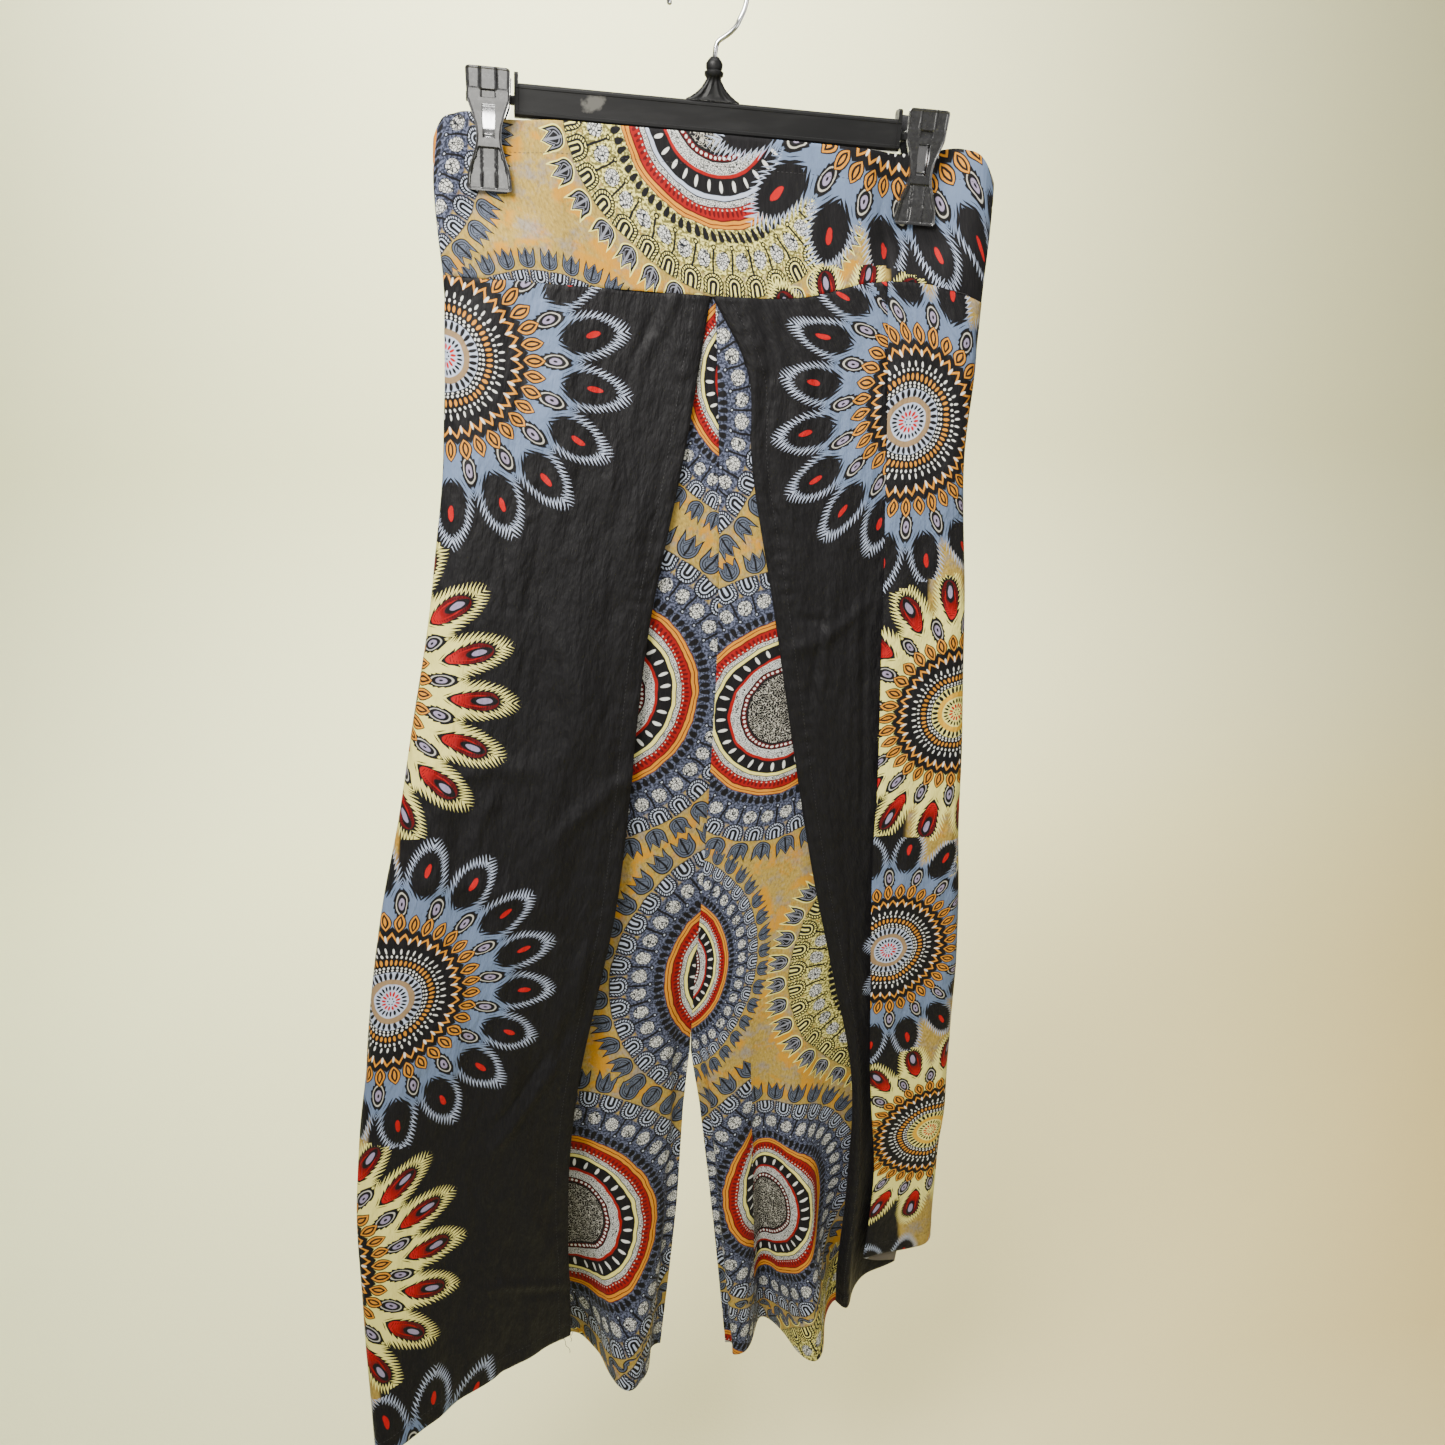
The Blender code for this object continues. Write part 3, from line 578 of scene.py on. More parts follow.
class Palette:
    """Paints colours over each other in a node tree."""

    def __init__(self, tree: bpy.types.NodeTree) -> None:
        """Keep the tree."""
        self.tree = tree

    def node(self, kind: str, inputs: dict | None = None, **settings: object
             ) -> Sequence[Socket]:
        """Add a shader node.

        Args:
            kind: Its type, without the ShaderNode before it.
            inputs: What goes into its inputs, by name or number.
            settings: Its own settings.

        Returns:
            Its outputs.
        """
        node = self.tree.nodes.new("ShaderNode" + kind)
        for name, value in settings.items():
            setattr(node, name, value)
        for key, value in (inputs or {}).items():
            fill(self.tree, node.inputs[key], value)
        return node.outputs

    def paint(self, under: object, over: object, mask: Field) -> Socket:
        """One colour or socket over another, where the mask is 1."""
        return self.node("Mix", {"Factor": mask, 6: under, 7: over}, data_type="RGBA")[2]

    def layers(self, colour: object, *layers: tuple[object, Field]) -> Socket:
        """Colours painted over each other, each where its mask is 1.

        Args:
            colour: The lowest colour.
            layers: Each further colour and its mask.

        Returns:
            The mixed colour's socket.
        """
        for over, mask in layers:
            colour = self.paint(colour, over, mask)
        return colour

    def attribute(self, name: str) -> Field:
        """A number that the mesh carries."""
        return Field(self.tree, self.node("Attribute", attribute_name=name)["Fac"])

    def flat_map(self, name: str) -> Socket:
        """A UV map of the mesh as a vector."""
        return self.node("UVMap", uv_map=name)[0]

    def place(self) -> Socket:
        """Places in the piece's own frame as a vector."""
        return self.node("TexCoord")["Object"]

    def scaled(self, vector: Socket, x: float, y: float,
               z: float = 1.0) -> Socket:
        """A vector stretched along its axes."""
        return self.node("Mapping", {"Vector": vector, "Scale": (x, y, z)})[0]

    def noise(self, vector: Socket, scale: float, detail: float = 2.0,
              rough: float = 0.5) -> Field:
        """A cloudy texture of 0 to 1, with rough as the strength of its finer layers."""
        outputs = self.node("TexNoise", {"Vector": vector, "Scale": scale, "Detail": detail,
                                         "Roughness": rough})
        return Field(self.tree, outputs[0])

    def shake(self, vector: Socket) -> Socket:
        """Small offsets in metres, from three cloudy textures at once."""
        clouds = self.node("TexNoise", {"Vector": vector, "Scale": 60, "Detail": 2.0,
                                        "Roughness": 0.5})["Color"]
        drift = self.vector("SUBTRACT", clouds, (0.5, 0.5, 0.5))[0]
        return self.vector("MULTIPLY", drift, (WOBBLE, WOBBLE, WOBBLE))[0]

    def cracks(self, vector: Socket, scale: float) -> Field:
        """Distance from the nearest edge between irregular cells."""
        outputs = self.node("TexVoronoi", {"Vector": vector, "Scale": scale},
                            feature="DISTANCE_TO_EDGE")
        return Field(self.tree, outputs["Distance"])

    def vector(self, operation: str, *terms: object) -> Sequence[Socket]:
        """The outputs of a Vector Math node."""
        return self.node("VectorMath", dict(enumerate(terms)), operation=operation)

    def x_and_y(self, vector: Socket) -> tuple[Field, Field]:
        """The first two parts of a vector."""
        parts = self.node("SeparateXYZ", {0: vector})
        return Field(self.tree, parts[0]), Field(self.tree, parts[1])

    def bump(self, height: Field, distance: float,
             below: Socket | None = None) -> Socket:
        """A surface raised by a height, over another bump."""
        inputs = {"Strength": 0.6, "Distance": distance, "Height": height}
        if below is not None:
            inputs["Normal"] = below
        return self.node("Bump", inputs)[0]

    def polar(self, name: str, wobble: Socket) -> Polar:
        """Polar coordinates round the nearest motif.

        Args:
            name: UV map that holds the place from the motif's centre.
            wobble: Small offsets in metres that make the drawing uneven.

        Returns:
            Radius in millimetres and angle in turns.
        """
        moved = self.vector("ADD", self.flat_map(name), wobble)[0]
        flat = self.vector("MULTIPLY", moved, (1000.0, 1000.0, 0.0))[0]
        x, y = self.x_and_y(flat)
        radius = Field(self.tree, self.vector("LENGTH", flat)["Value"])
        return Polar(radius, y.math("ARCTAN2", x) * (1 / (2 * math.pi)))


class Paint(Palette):
    """A palette on the nodes of a new material."""

    def __init__(self, name: str) -> None:
        """Make the material."""
        self.material = bpy.data.materials.new(name)
        self.material.use_nodes = True
        super().__init__(self.material.node_tree)

    def dress(self, inputs: dict[str, object]) -> Material:
        """Fill the named inputs of the material's shader, and give the material."""
        shader = self.tree.nodes["Principled BSDF"]
        for name, value in inputs.items():
            fill(self.tree, shader.inputs[name], value)
        return self.material


@dataclass(frozen=True)
class Inks:
    """Colours of the print."""

    black: Colour = ink(19, 18, 21)
    blue: Colour = ink(114, 132, 164)
    pale_blue: Colour = ink(196, 206, 230)
    zone_blue: Colour = ink(100, 106, 132)
    slate: Colour = ink(22, 26, 40)
    iron: Colour = ink(26, 28, 36)
    lilac: Colour = ink(160, 148, 178)
    olive: Colour = ink(60, 54, 26)
    grey: Colour = ink(138, 140, 154)
    cream: Colour = ink(255, 244, 140)
    white: Colour = ink(244, 244, 240)
    bone: Colour = ink(200, 196, 184)
    khaki: Colour = ink(184, 155, 74)
    ochre: Colour = ink(214, 148, 16)
    umber: Colour = ink(116, 92, 50)
    gold: Colour = ink(226, 148, 38)
    red: Colour = ink(196, 12, 18)
    dark_red: Colour = ink(98, 6, 12)
    brick: Colour = ink(162, 18, 16)
    petal: Colour = ink(92, 100, 118)
    tan: Colour = ink(160, 132, 98)
    yellow: Colour = ink(236, 180, 50)


class Print:
    """The cloth's printed pattern as a node group with one colour output.

    It is made of two traditional round motifs on a mottled ground. The wheel
    has a dotted centre and fringed petals. The medallion has plain and beaded
    rings, and stalks with buds round it. Both are drawn with formulas in the
    distance and angle from a motif's centre.
    """

    def __init__(self, inks: Inks) -> None:
        """Draw the whole pattern."""
        self.inks = inks
        self.group = bpy.data.node_groups.new("print", "ShaderNodeTree")
        self.group.interface.new_socket("Colour", in_out="OUTPUT", socket_type="NodeSocketColor")
        self.pen = Palette(self.group)
        self.cloth = self.pen.flat_map("cloth")
        self.wobble = self.pen.shake(self.cloth)
        under = self.pen.paint(self.medallion(self.ground()), inks.black,
                               self.pen.attribute("black_band"))
        out = self.group.nodes.new("NodeGroupOutput")
        self.group.links.new(self.wheel(under), out.inputs[0])

    def ground(self) -> Socket:
        """Khaki ground, mottled with ochre and grey clouds."""
        inks, pen = self.inks, self.pen
        clouds = pen.noise(self.cloth, 34, 6, 0.68)
        haze = pen.noise(self.cloth, 52, 6, 0.72)
        threads = pen.noise(pen.scaled(self.cloth, 560, 300), 1.0, 3, 0.6)
        return pen.layers(inks.khaki, (inks.ochre, clouds.rises(0.56, 0.62) * 0.60),
                          (inks.grey, haze.rises(0.50, 0.64) * 0.60),
                          (inks.umber, threads.rises(0.52, 0.34) * 0.50),
                          (inks.bone, threads.rises(0.56, 0.74) * 0.25))

    def medallion(self, ground: Socket) -> Socket:
        """Ringed medallions with stalks, arches and tulips, over the ground.

        Args:
            ground: Colour beyond the tulips.

        Returns:
            The colour's socket.
        """
        inks, pen = self.inks, self.pen
        spot = pen.polar("medallion", self.wobble)
        tone = pen.attribute("medallion_tone")
        r, stalks = spot.r, 40
        specks = pen.noise(self.cloth, 560).rises(0.45, 0.53)
        # Tulips: a round cup with three points, painted in steps of depth below its outline
        x = spot.sector(stalks, 0.5).size()
        cup_y = (r - 111.8).least(0.0)
        cup = (x * x + cup_y * cup_y).math("SQRT")
        rim = x.wave(6.8).math("MULTIPLY_ADD", -6.2, 121.6)
        depth = (cup * -1 + 7.0).least((rim - r) * 0.8)
        blotch = pen.noise(self.cloth, 42, 4, 0.6).rises(0.50, 0.55) * r.between(109, 127, 5.0)
        vein = depth.between(1.9, 2.5, 0.3).most(depth.between(3.5, 4.1, 0.3)).most(
            x.below(0.7) * depth.rises(1.4, 1.7))
        colour = pen.layers(
            ground, (inks.ochre, blotch * 0.8),
            (pen.paint(inks.black, inks.cream, tone), depth.rises(-0.1, 0.2)),
            (pen.paint(inks.petal, inks.black, tone), depth.rises(0.75, 0.95)),
            (pen.paint(inks.black, inks.grey, tone), vein))
        # Arches: bends round a middle at 98 that open outwards, with beads between two lines
        x = spot.sector(stalks).size()
        bend_y = (r - 98).least(0.0)
        bend = (x * x + bend_y * bend_y).math("SQRT")
        reach = r.below(104, 1.0)
        light = pen.paint(inks.pale_blue, inks.cream, tone)
        zone = pen.paint(pen.paint(inks.zone_blue, inks.cream, tone),
                         pen.paint(inks.slate, inks.olive, tone), specks * 0.85)
        beads = bend.between(4.9, 6.1, 0.3) * (r + x).wave(2.3).rises(0.35, 0.6)
        lines = bend.between(2.7, 3.7, 0.3).most(bend.below(0.8, 0.3))
        colour = pen.layers(colour, (zone, (bend.below(7.7) * reach).most(r.below(93, 2.0))),
                            (inks.black, bend.below(7.0) * reach * r.rises(90.4, 91)),
                            (light, beads.most(lines) * r.between(91, 103.4)))
        # Stalks with heads, crackled pebbles between them, and drops round the gold rings
        pebble = spot.ovals(stalks, 84.4, 4.7, 5.3, shift=0.5)
        stone = pen.paint(inks.iron, inks.white, pen.cracks(self.cloth, 520).rises(0.05, 0.17))
        head = spot.ovals(stalks, 77.2, 1.6, 1.6)
        colour = pen.layers(
            colour, (inks.black, pebble.below(1.08, 0.06) * specks),
            (stone, pebble.below(0.94, 0.1)),
            (inks.black, (x.below(0.7) * r.between(78, 92)).most(head.below(1.0, 0.2))),
            (light, head.below(0.42, 0.2)),
            (inks.black, spot.ovals(88, 71.0, 1.75, 3.4, taper=-0.35).below(1.0, 0.2)))
        rings = (
            # outer radius, colour
            (67.0, inks.dark_red), (66.5, inks.gold), (64.9, inks.dark_red), (64.3, inks.gold),
            (62.4, inks.dark_red), (61.6, inks.brick), (56.2, inks.dark_red), (55.5, inks.white),
            (52.6, inks.black), (51.9, pen.paint(inks.cream, inks.pale_blue, tone)),
            (49.6, inks.black), (40.3, inks.brick), (38.3, inks.white), (32.2, inks.black),
            (31.2, inks.dark_red), (28.2, inks.black),
        )
        colour = pen.layers(colour, *((ring, r.below(radius)) for radius, ring in rings))
        white_zone = r.between(52.7, 55.5).most(r.between(32.4, 38.2))
        cracks = pen.cracks(self.cloth, 860).below(0.10, 0.12)
        core = pen.noise(self.cloth, 480, 1, 0.4).between(0.46, 0.53, 0.03)
        marks = (
            # count, radius, half width, half length, colour
            (118, 58.9, 0.85, 1.7, inks.dark_red),
            (118, 56.9, 0.55, 0.55, inks.bone),
        )
        pale_marks = (33, 45.0, 1.1, 3.1, inks.white), (58, 29.7, 0.95, 0.95, inks.white)
        return pen.layers(colour, (inks.iron, white_zone * cracks),
                          (inks.bone, r.below(26.6) * core), *self.dashes(spot, marks),
                          *self.dashes(spot, pale_marks, 0.25))

    @staticmethod
    def dashes(spot: Polar, marks: Sequence[tuple], soft: float = 0.3
               ) -> list[tuple[Colour, Field]]:
        """Rings of small ovals as layers, each of a colour and a mask with soft edges."""
        return [(colour, spot.ovals(*sizes).below(1.0, soft)) for *sizes, colour in marks]

    def wheel(self, under: Socket) -> Socket:
        """Wheels with fringed petals, over the rest of the pattern.

        Args:
            under: Colour beyond the petals.

        Returns:
            The colour's socket.
        """
        inks, pen = self.inks, self.pen
        spot = pen.polar("wheel", self.wobble)
        tone = pen.attribute("wheel_tone")
        r, petals, buds = spot.r, 18, 36
        # Petals: an oval body in a wider oval fringe, both cut by a comb of oblique spikes
        x, y = spot.sector(petals), r - 94.5
        comb = (y - x.size() * 1.5).wave(4.0)
        body = spot.ovals(petals, 94.0, 10.4, 18.2, taper=0.10).mixed(
            spot.ovals(petals, 92.5, 7.4, 18.4, taper=-0.30), tone)
        fringe = spot.ovals(petals, 94.0, 12.6, 22.6, taper=0.16).mixed(
            spot.ovals(petals, 94.0, 12.0, 22.8, taper=0.10), tone)
        gap = (r - comb * 10.0).below(79, 0.8)
        bright = pen.paint(inks.pale_blue, inks.cream, tone)
        rim = pen.paint(pen.paint(inks.blue, inks.cream, tone), bright, r.rises(84, 98) * 0.8)
        colour = pen.layers(under, (rim, (fringe + comb * 0.52).below(1.26, 0.04).most(gap)),
                            (inks.black, (body + comb * 0.26).below(1.15, 0.04)))
        # The cream wheel's petals are red, in outlines round a lilac lens
        tip = y.rises(-3, -13).most(body.between(0.46, 0.58, 0.08) * 0.7)
        ticks = y.wave(1.7).rises(0.5, 0.8) * body.between(0.60, 0.74, 0.05)
        lens = spot.ovals(petals, 98.5, 2.3, 6.2)
        leaf = pen.layers(pen.paint(inks.dark_red, inks.red, tip), (inks.black, ticks * 0.7),
                          (inks.black, lens.below(1.45, 0.1)), (inks.lilac, lens.below(0.85, 0.1)))
        lens = spot.ovals(petals, 97, 1.8, 5.0).below(1.0, 0.12)
        # Small ringed ovals between the petals, and the dark disc inside them
        seed = spot.ovals(petals, 71.0, 5.0, 10.4, shift=0.5)
        disc = r - spot.sector(buds).size() * 0.9
        colour = pen.layers(
            colour, (leaf, body.below(0.84, 0.04) * tone),
            (inks.red, lens * (tone * -1 + 1.0)),
            (inks.black, (seed + comb * 0.18).below(1.14, 0.05)),
            (inks.bone, seed.between(0.66, 0.78, 0.05)), (inks.lilac, seed.below(0.40, 0.06)),
            (inks.black, seed.below(0.14, 0.06)), (inks.black, disc.below(50, 0.6)))
        # Gold buds and a gold zigzag on the disc's rim
        bud_x, bud_y = spot.sector(buds).size() * (1 / 3.7), (r - 57.3) * (1 / 7.0)
        bud = bud_x + bud_y * bud_y
        zigzag = (r - 43.0 - spot.turn.math("MULTIPLY", float(buds)).wave(1.0) * 6.0).size()
        colour = pen.layers(
            colour, (inks.black, bud.below(1.22, 0.1)), (inks.gold, bud.below(0.98, 0.1)),
            (inks.black, bud.below(0.62, 0.1)), (inks.gold, bud.below(0.26, 0.1)),
            (inks.gold, zigzag.below(1.15)), (bright, r.below(21.6)),
            (pen.paint(inks.tan, inks.yellow, tone), r.between(12.6, 16.6)))
        marks = (
            # count, radius, half width, half length, colour
            (36, 44.6, 0.8, 2.4, inks.white), (46, 36.8, 0.7, 1.9, inks.white),
            (60, 33.0, 0.75, 1.1, inks.white), (52, 28.7, 0.95, 2.0, inks.gold),
            (50, 24.9, 0.85, 0.85, inks.white), (46, 22.9, 0.75, 0.75, inks.white),
            (30, 18.9, 1.2, 2.7, inks.black), (22, 9.7, 0.8, 1.9, inks.black),
            (13, 5.4, 0.8, 1.8, inks.red), (6, 2.3, 0.6, 0.6, inks.black),
        )
        return pen.layers(colour, *self.dashes(spot, marks))


@dataclass(frozen=True)
class ClothFinish:
    """Printed cloth: the print, a fine weave and a faint sheen.

    The print is washed out towards grey by fade, as on its wrong side, and
    crinkle and weave are the depths of the fine crinkles and of the threads.
    """

    name: str
    fade: float = 0.0
    roughness: float = 0.75
    sheen: float = 0.02
    crinkle: float = 0.00035
    weave: float = 0.00008

    def build(self, pattern: Print) -> Material:
        """The material, with the shared pattern as its colour."""
        pen = Paint(self.name)
        cloth = pen.flat_map("cloth")
        colour = pen.node("Group", node_tree=pattern.group)[0]
        slub = pen.noise(pen.scaled(cloth, 1500, 90), 1.0)
        colour = pen.paint(colour, linear(96, 92, 92), slub.rises(0.45, 0.85) * 0.05)
        if self.fade:
            veil = pen.noise(cloth, 40).rises(-1.0, 1.0) * self.fade
            colour = pen.paint(colour, linear(150, 140, 128), veil)
        warp = pen.noise(pen.scaled(cloth, 2600, 500), 1.0, 0)
        weft = pen.noise(pen.scaled(cloth, 500, 2600), 1.0, 0)
        soft = pen.noise(pen.scaled(cloth, 60, 22), 1.0, 4, 0.55)
        top = pen.bump(soft, self.crinkle * 10, pen.bump(warp.most(weft), self.weave))
        return pen.dress({"Base Color": colour, "Roughness": self.roughness, "Normal": top,
                          "Sheen Weight": self.sheen, "Sheen Roughness": 0.45,
                          "Specular IOR Level": 0.14})


@dataclass(frozen=True)
class HardFinish:
    """Moulded plastic, plated steel or thread.

    Its scuffs and streaks have the worn colour, are rougher by uneven, and
    come grain times in a metre along x, y and z. The middle of a pale rub
    mark is rub, if it has one.
    """

    name: str
    colour: Colour
    worn: Colour
    roughness: float
    uneven: float
    metallic: float = 0.0
    grain: tuple[float, float, float] = (300.0, 300.0, 300.0)
    coat: float = 0.0
    specular: float = 0.5
    rub: tuple[float, float, float] | None = None

    def build(self) -> Material:
        """The material, with its scuffs in colour, roughness and bump."""
        pen = Paint(self.name)
        place = pen.place()
        scuffs = pen.noise(pen.scaled(place, *self.grain), 1.0, 3, 0.6)
        colour = pen.paint(self.colour, self.worn, scuffs.rises(0.5, 0.85) * 0.5)
        if self.rub:
            away = pen.scaled(pen.vector("SUBTRACT", place, self.rub)[0], 1.0, 0.2, 1.3)
            near = Field(pen.tree, pen.vector("LENGTH", away)["Value"])
            mark = (near + pen.noise(place, 190, 3) * 0.012).below(0.0125, 0.003)
            colour = pen.paint(colour, linear(120, 118, 112), mark * 0.35)
        rough = scuffs.rises(0.3, 0.8).math("MULTIPLY_ADD", self.uneven, self.roughness)
        return pen.dress({"Base Color": colour, "Roughness": rough, "Metallic": self.metallic,
                          "Coat Weight": self.coat, "Specular IOR Level": self.specular,
                          "Normal": pen.bump(pen.noise(place, 2400, 1), 0.000008)})


@dataclass(frozen=True)
class WallPaint:
    """Plain pale paint, with painted shade that turns it darker and warmer towards the lower right
    of the wall.

    Attributes:
        pale: Colour of the floor and of the wall's upper left.
        warm: Painted shade, the darker and warmer colour of the wall's lower right.
    """

    pale: Colour = linear(247, 249, 204)
    # Painted shade: the darker, warmer colour towards the lower right
    warm: Colour = linear(190, 163, 100)

    def build(self) -> Material:
        """The material: the wall lies at the greater y, the floor at the smaller."""
        pen = Paint("wall_paint")
        place = pen.place()
        x, y = pen.x_and_y(place)
        # Painted shade: the paint turns darker and warmer towards the lower right of the wall and
        # on the floor near it
        painted_shade = ((x + 1.0) * (y * -1 + 3.0)).rises(0.0, 6.5) * y.rises(-1.2, 0.2)
        rough = pen.noise(place, 3.0).math("MULTIPLY_ADD", 0.1, 0.8)
        return pen.dress({"Base Color": pen.paint(self.pale, self.warm, painted_shade),
                          "Roughness": rough,
                          "Normal": pen.bump(pen.noise(place, 260, 3), 0.0004)})


# Cloth


@dataclass
class Panel:
    """A cut piece of cloth that hangs in the form of its solid.

    Attributes:
        name: The frame's node that it stands for.
        slot: Material slot of the record.
        outward: 1 where columns cross rows points out of the garment, else -1.
        flat: Width and length that it is cut to; not used.
        area: Flat area of the cut; not used.
        lean: Cosine of the angle between the first column and the rows.
        held: How the cloth is held; not used.
        rests_on: What it hangs from; not used.
        hem_width: Width of the turned hem along the first column.
        ripple: Height of the slow, shallow waves all over the cloth.
        gather: Height of the soft folds that run down from the seam at the top.
        black_edge: Where across the cloth its plain black band begins or ends.
        black_way: 1 for black past that edge, -1 for black before it.
        surface: Points of the outer face, once it is built.
        normal: Normals there.
    """

    name: str
    slot: Slot
    outward: float
    flat: tuple[float, float]
    area: float
    lean: float = 0.0
    held: str = "hung"
    rests_on: tuple[str, ...] = ("hanger_bar",)
    hem_width: float = 0.0
    ripple: float = 0.0
    gather: float = 0.0
    black_edge: float = 0.0
    black_way: int = 0
    surface: Array | None = None
    normal: Array | None = None

    def middle(self) -> Array:
        """Points of the middle surface, rows by columns."""
        raise NotImplementedError

    def line(self, edge: Edge, away: float) -> tuple[Array, Array]:
        """A line on the outer surface at a distance from one of its edges.

        Args:
            edge: Which edge.
            away: Distance from it along the cloth.

        Returns:
            Places of the line's points, and the surface's normal at each.
        """
        points, normal = self.surface, self.normal
        if edge is Edge.BOTTOM:
            points, normal = points[::-1], normal[::-1]
        if edge is not Edge.FIRST:
            points, normal = points.swapaxes(0, 1), normal.swapaxes(0, 1)
        reach = lengths_along(points, 1)
        low = np.clip((reach < away).sum(axis=1) - 1, 0, points.shape[1] - 2)
        row = np.arange(len(points))
        share = ((away - reach[row, low]) / (reach[row, low + 1] - reach[row, low]))[:, None]
        return (points[row, low] * (1 - share) + points[row, low + 1] * share,
                unit(normal[row, low] * (1 - share) + normal[row, low + 1] * share))

    def flat_map(self, middle: Array) -> tuple[Array, Array]:
        """Places on the flat cut.

        A row starts at its distance down the first column and runs off at
        the angle whose cosine is lean: u = s sin, v = down + s cos.

        Args:
            middle: Points of the middle surface.

        Returns:
            u across and v down, in metres.
        """
        s = lengths_along(middle, 1)
        down = lengths_along(middle[:, 0], 0)
        return s * math.sqrt(1 - self.lean ** 2), down[:, None] + s * self.lean

    def relief(self, u: Array, v: Array) -> Array:
        """Height of creases, slow ripples and puckers along the hem.

        The ripples are products of sines of u and v with bent phases, and the
        gathers are sines of u that fade out down the cloth.

        Args:
            u: Places across the cloth.
            v: Places down the cloth.

        Returns:
            The height at each place, outwards where it is above 0.
        """
        slow = (np.sin(u * 71 + 2.1 * np.sin(v * 7.3)) * np.sin(v * 9.1 + 1.7)
                + 0.6 * np.sin(u * 141 + v * 13.0 + 0.6) * np.sin(v * 19.0)
                + 0.3 * np.sin(u * 214 - v * 37.0) * np.sin(v * 31.0 + u * 12))
        tucks = np.sin(u * 235 + 2.6 * np.sin(u * 31) + v * 9) * np.exp(-v / 0.022)
        soft = np.sin(u * 88 + 1.9 * np.sin(u * 19) - v * 5) * np.exp(-v / 0.11)
        height = (creases(CREASES.get(self.name, ()), u, v) + self.ripple * slow
                  + self.gather * (0.45 * tucks + soft))
        if self.hem_width:
            pucker = np.sin(v * 520 + 2 * np.sin(v * 61)) * (0.6 + 0.4 * np.sin(v * 43))
            height = height + HEM_PUCKER * pucker * bell(u - self.hem_width, 0.006)
            height = height - HEM_GROOVE * bell(u - self.hem_width, 0.0012)
        return height

    def thickness(self, u: Array) -> Array:
        """Thickness of the shell: a turned hem is a little thicker."""
        turned = 1 - ease((u - self.hem_width) / 0.0012) if self.hem_width else 0 * u
        return CLOTH_THICK + (HEM_THICK - CLOTH_THICK) * turned

    def build(self, finishes: Sequence[Material]) -> bpy.types.Object:
        """Make the shell and put it in its node's place.

        Args:
            finishes: The right side's and the wrong side's materials.

        Returns:
            The piece.
        """
        middle = self.middle()
        u, v = self.flat_map(middle)
        down, across = np.gradient(middle, axis=(0, 1))
        normal = self.outward * unit(np.cross(across, down))
        half = self.thickness(u)[..., None] / 2
        lifted = middle + normal * self.relief(u, v)[..., None]
        outer, inner = lifted + normal * half, lifted - normal * half
        self.surface, self.normal = outer, normal
        # The rim bulges by half the thickness away from the sheet
        away = np.zeros_like(middle)
        for edge, inside in ((0, 1), (-1, -2)):
            away[edge] += unit(lifted[edge] - lifted[inside])
            away[:, edge] += unit(lifted[:, edge] - lifted[:, inside])
        bulge = lifted + unit(away) * half * 0.8
        count = u.size
        loop = border(np.arange(count).reshape(u.shape))
        points = np.concatenate([outer.reshape(-1, 3), inner.reshape(-1, 3),
                                 bulge.reshape(-1, 3)[loop]])
        flat = np.stack([u.ravel(), v.ravel()], axis=1)
        flat = np.concatenate([flat, flat, flat[loop]])
        sheet = grid_quads(*u.shape)
        ring = np.arange(len(loop)) + 2 * count
        after, ring_after = np.roll(loop, -1), np.roll(ring, -1)
        rim_out = np.stack([loop, ring, ring_after, after], axis=1)
        rim_in = np.stack([ring, loop + count, after + count, ring_after], axis=1)
        faces = np.concatenate([sheet, sheet[:, ::-1] + count, rim_out, rim_in])
        if self.outward < 0:
            faces = faces[:, ::-1]
        piece = make_mesh(self.name + "_cloth", points, faces, finishes, 60)
        wrong = np.zeros(len(faces), np.int32)
        wrong[len(sheet):2 * len(sheet)] = 1
        piece.data.polygons.foreach_set("material_index", wrong)
        self.map_print(piece.data, flat, faces)
        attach(piece, "root")
        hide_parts(self.name)
        return piece

    def map_print(self, mesh: bpy.types.Mesh, flat: Array, faces: Array) -> None:
        """Give the mesh its flat map and each face its nearest motifs.

        Args:
            mesh: The shell's mesh.
            flat: u and v of each point.
            faces: Point numbers of each face.
        """
        corners = flat[faces]
        centres = corners.mean(axis=1)
        self.write_map(mesh, "cloth", corners)
        for name, motifs in zip(("wheel", "medallion"), PRINTS[self.name]):
            local = np.full_like(corners, 1.0)
            tone = np.zeros(len(faces), np.float32)
            if motifs:
                places = np.array([(m.u, m.v) for m in motifs])
                scale = np.array([(m.across, m.down) for m in motifs])
                span = np.array([m.span for m in motifs])
                gap = np.linalg.norm((centres[:, None] - places) / scale, axis=-1)
                beyond = (centres[:, :1] < span[:, 0]) | (centres[:, :1] > span[:, 1])
                nearest = (gap + beyond).argmin(axis=1)
                local = (corners - places[nearest][:, None]) / scale[nearest][:, None]
                tone = np.array([m.tone.value for m in motifs], np.float32)[nearest]
            self.write_map(mesh, name, local)
            mesh.attributes.new(name + "_tone", "FLOAT", "FACE").data.foreach_set("value", tone)
        past = ease((flat[:, 0] - self.black_edge) / BLACK_FADE)
        band = {-1: 1 - past, 0: 0 * past, 1: past}[self.black_way].astype(np.float32)
        mesh.attributes.new("black_band", "FLOAT", "POINT").data.foreach_set("value", band)

    @staticmethod
    def write_map(mesh: bpy.types.Mesh, name: str, corners: Array) -> None:
        """Write a UV map from the place of each face's corners."""
        layer = mesh.uv_layers.new(name=name)
        layer.data.foreach_set("uv", corners.astype(np.float32).ravel())


def table_corners(rows: Array, drop: Array) -> Array:
    """x and y of each corner of a table at each drop."""
    return np.array([[follow(rows, k, drop) for k in range(first, rows.shape[1], 2)]
                     for first in (1, 2)])


def drops(top: Array, bottom: Array, rows: int) -> Array:
    """Even drops from a top to a bottom in each column, row by row."""
    return top + np.linspace(0.0, 1.0, rows + 1)[:, None] * (bottom - top)


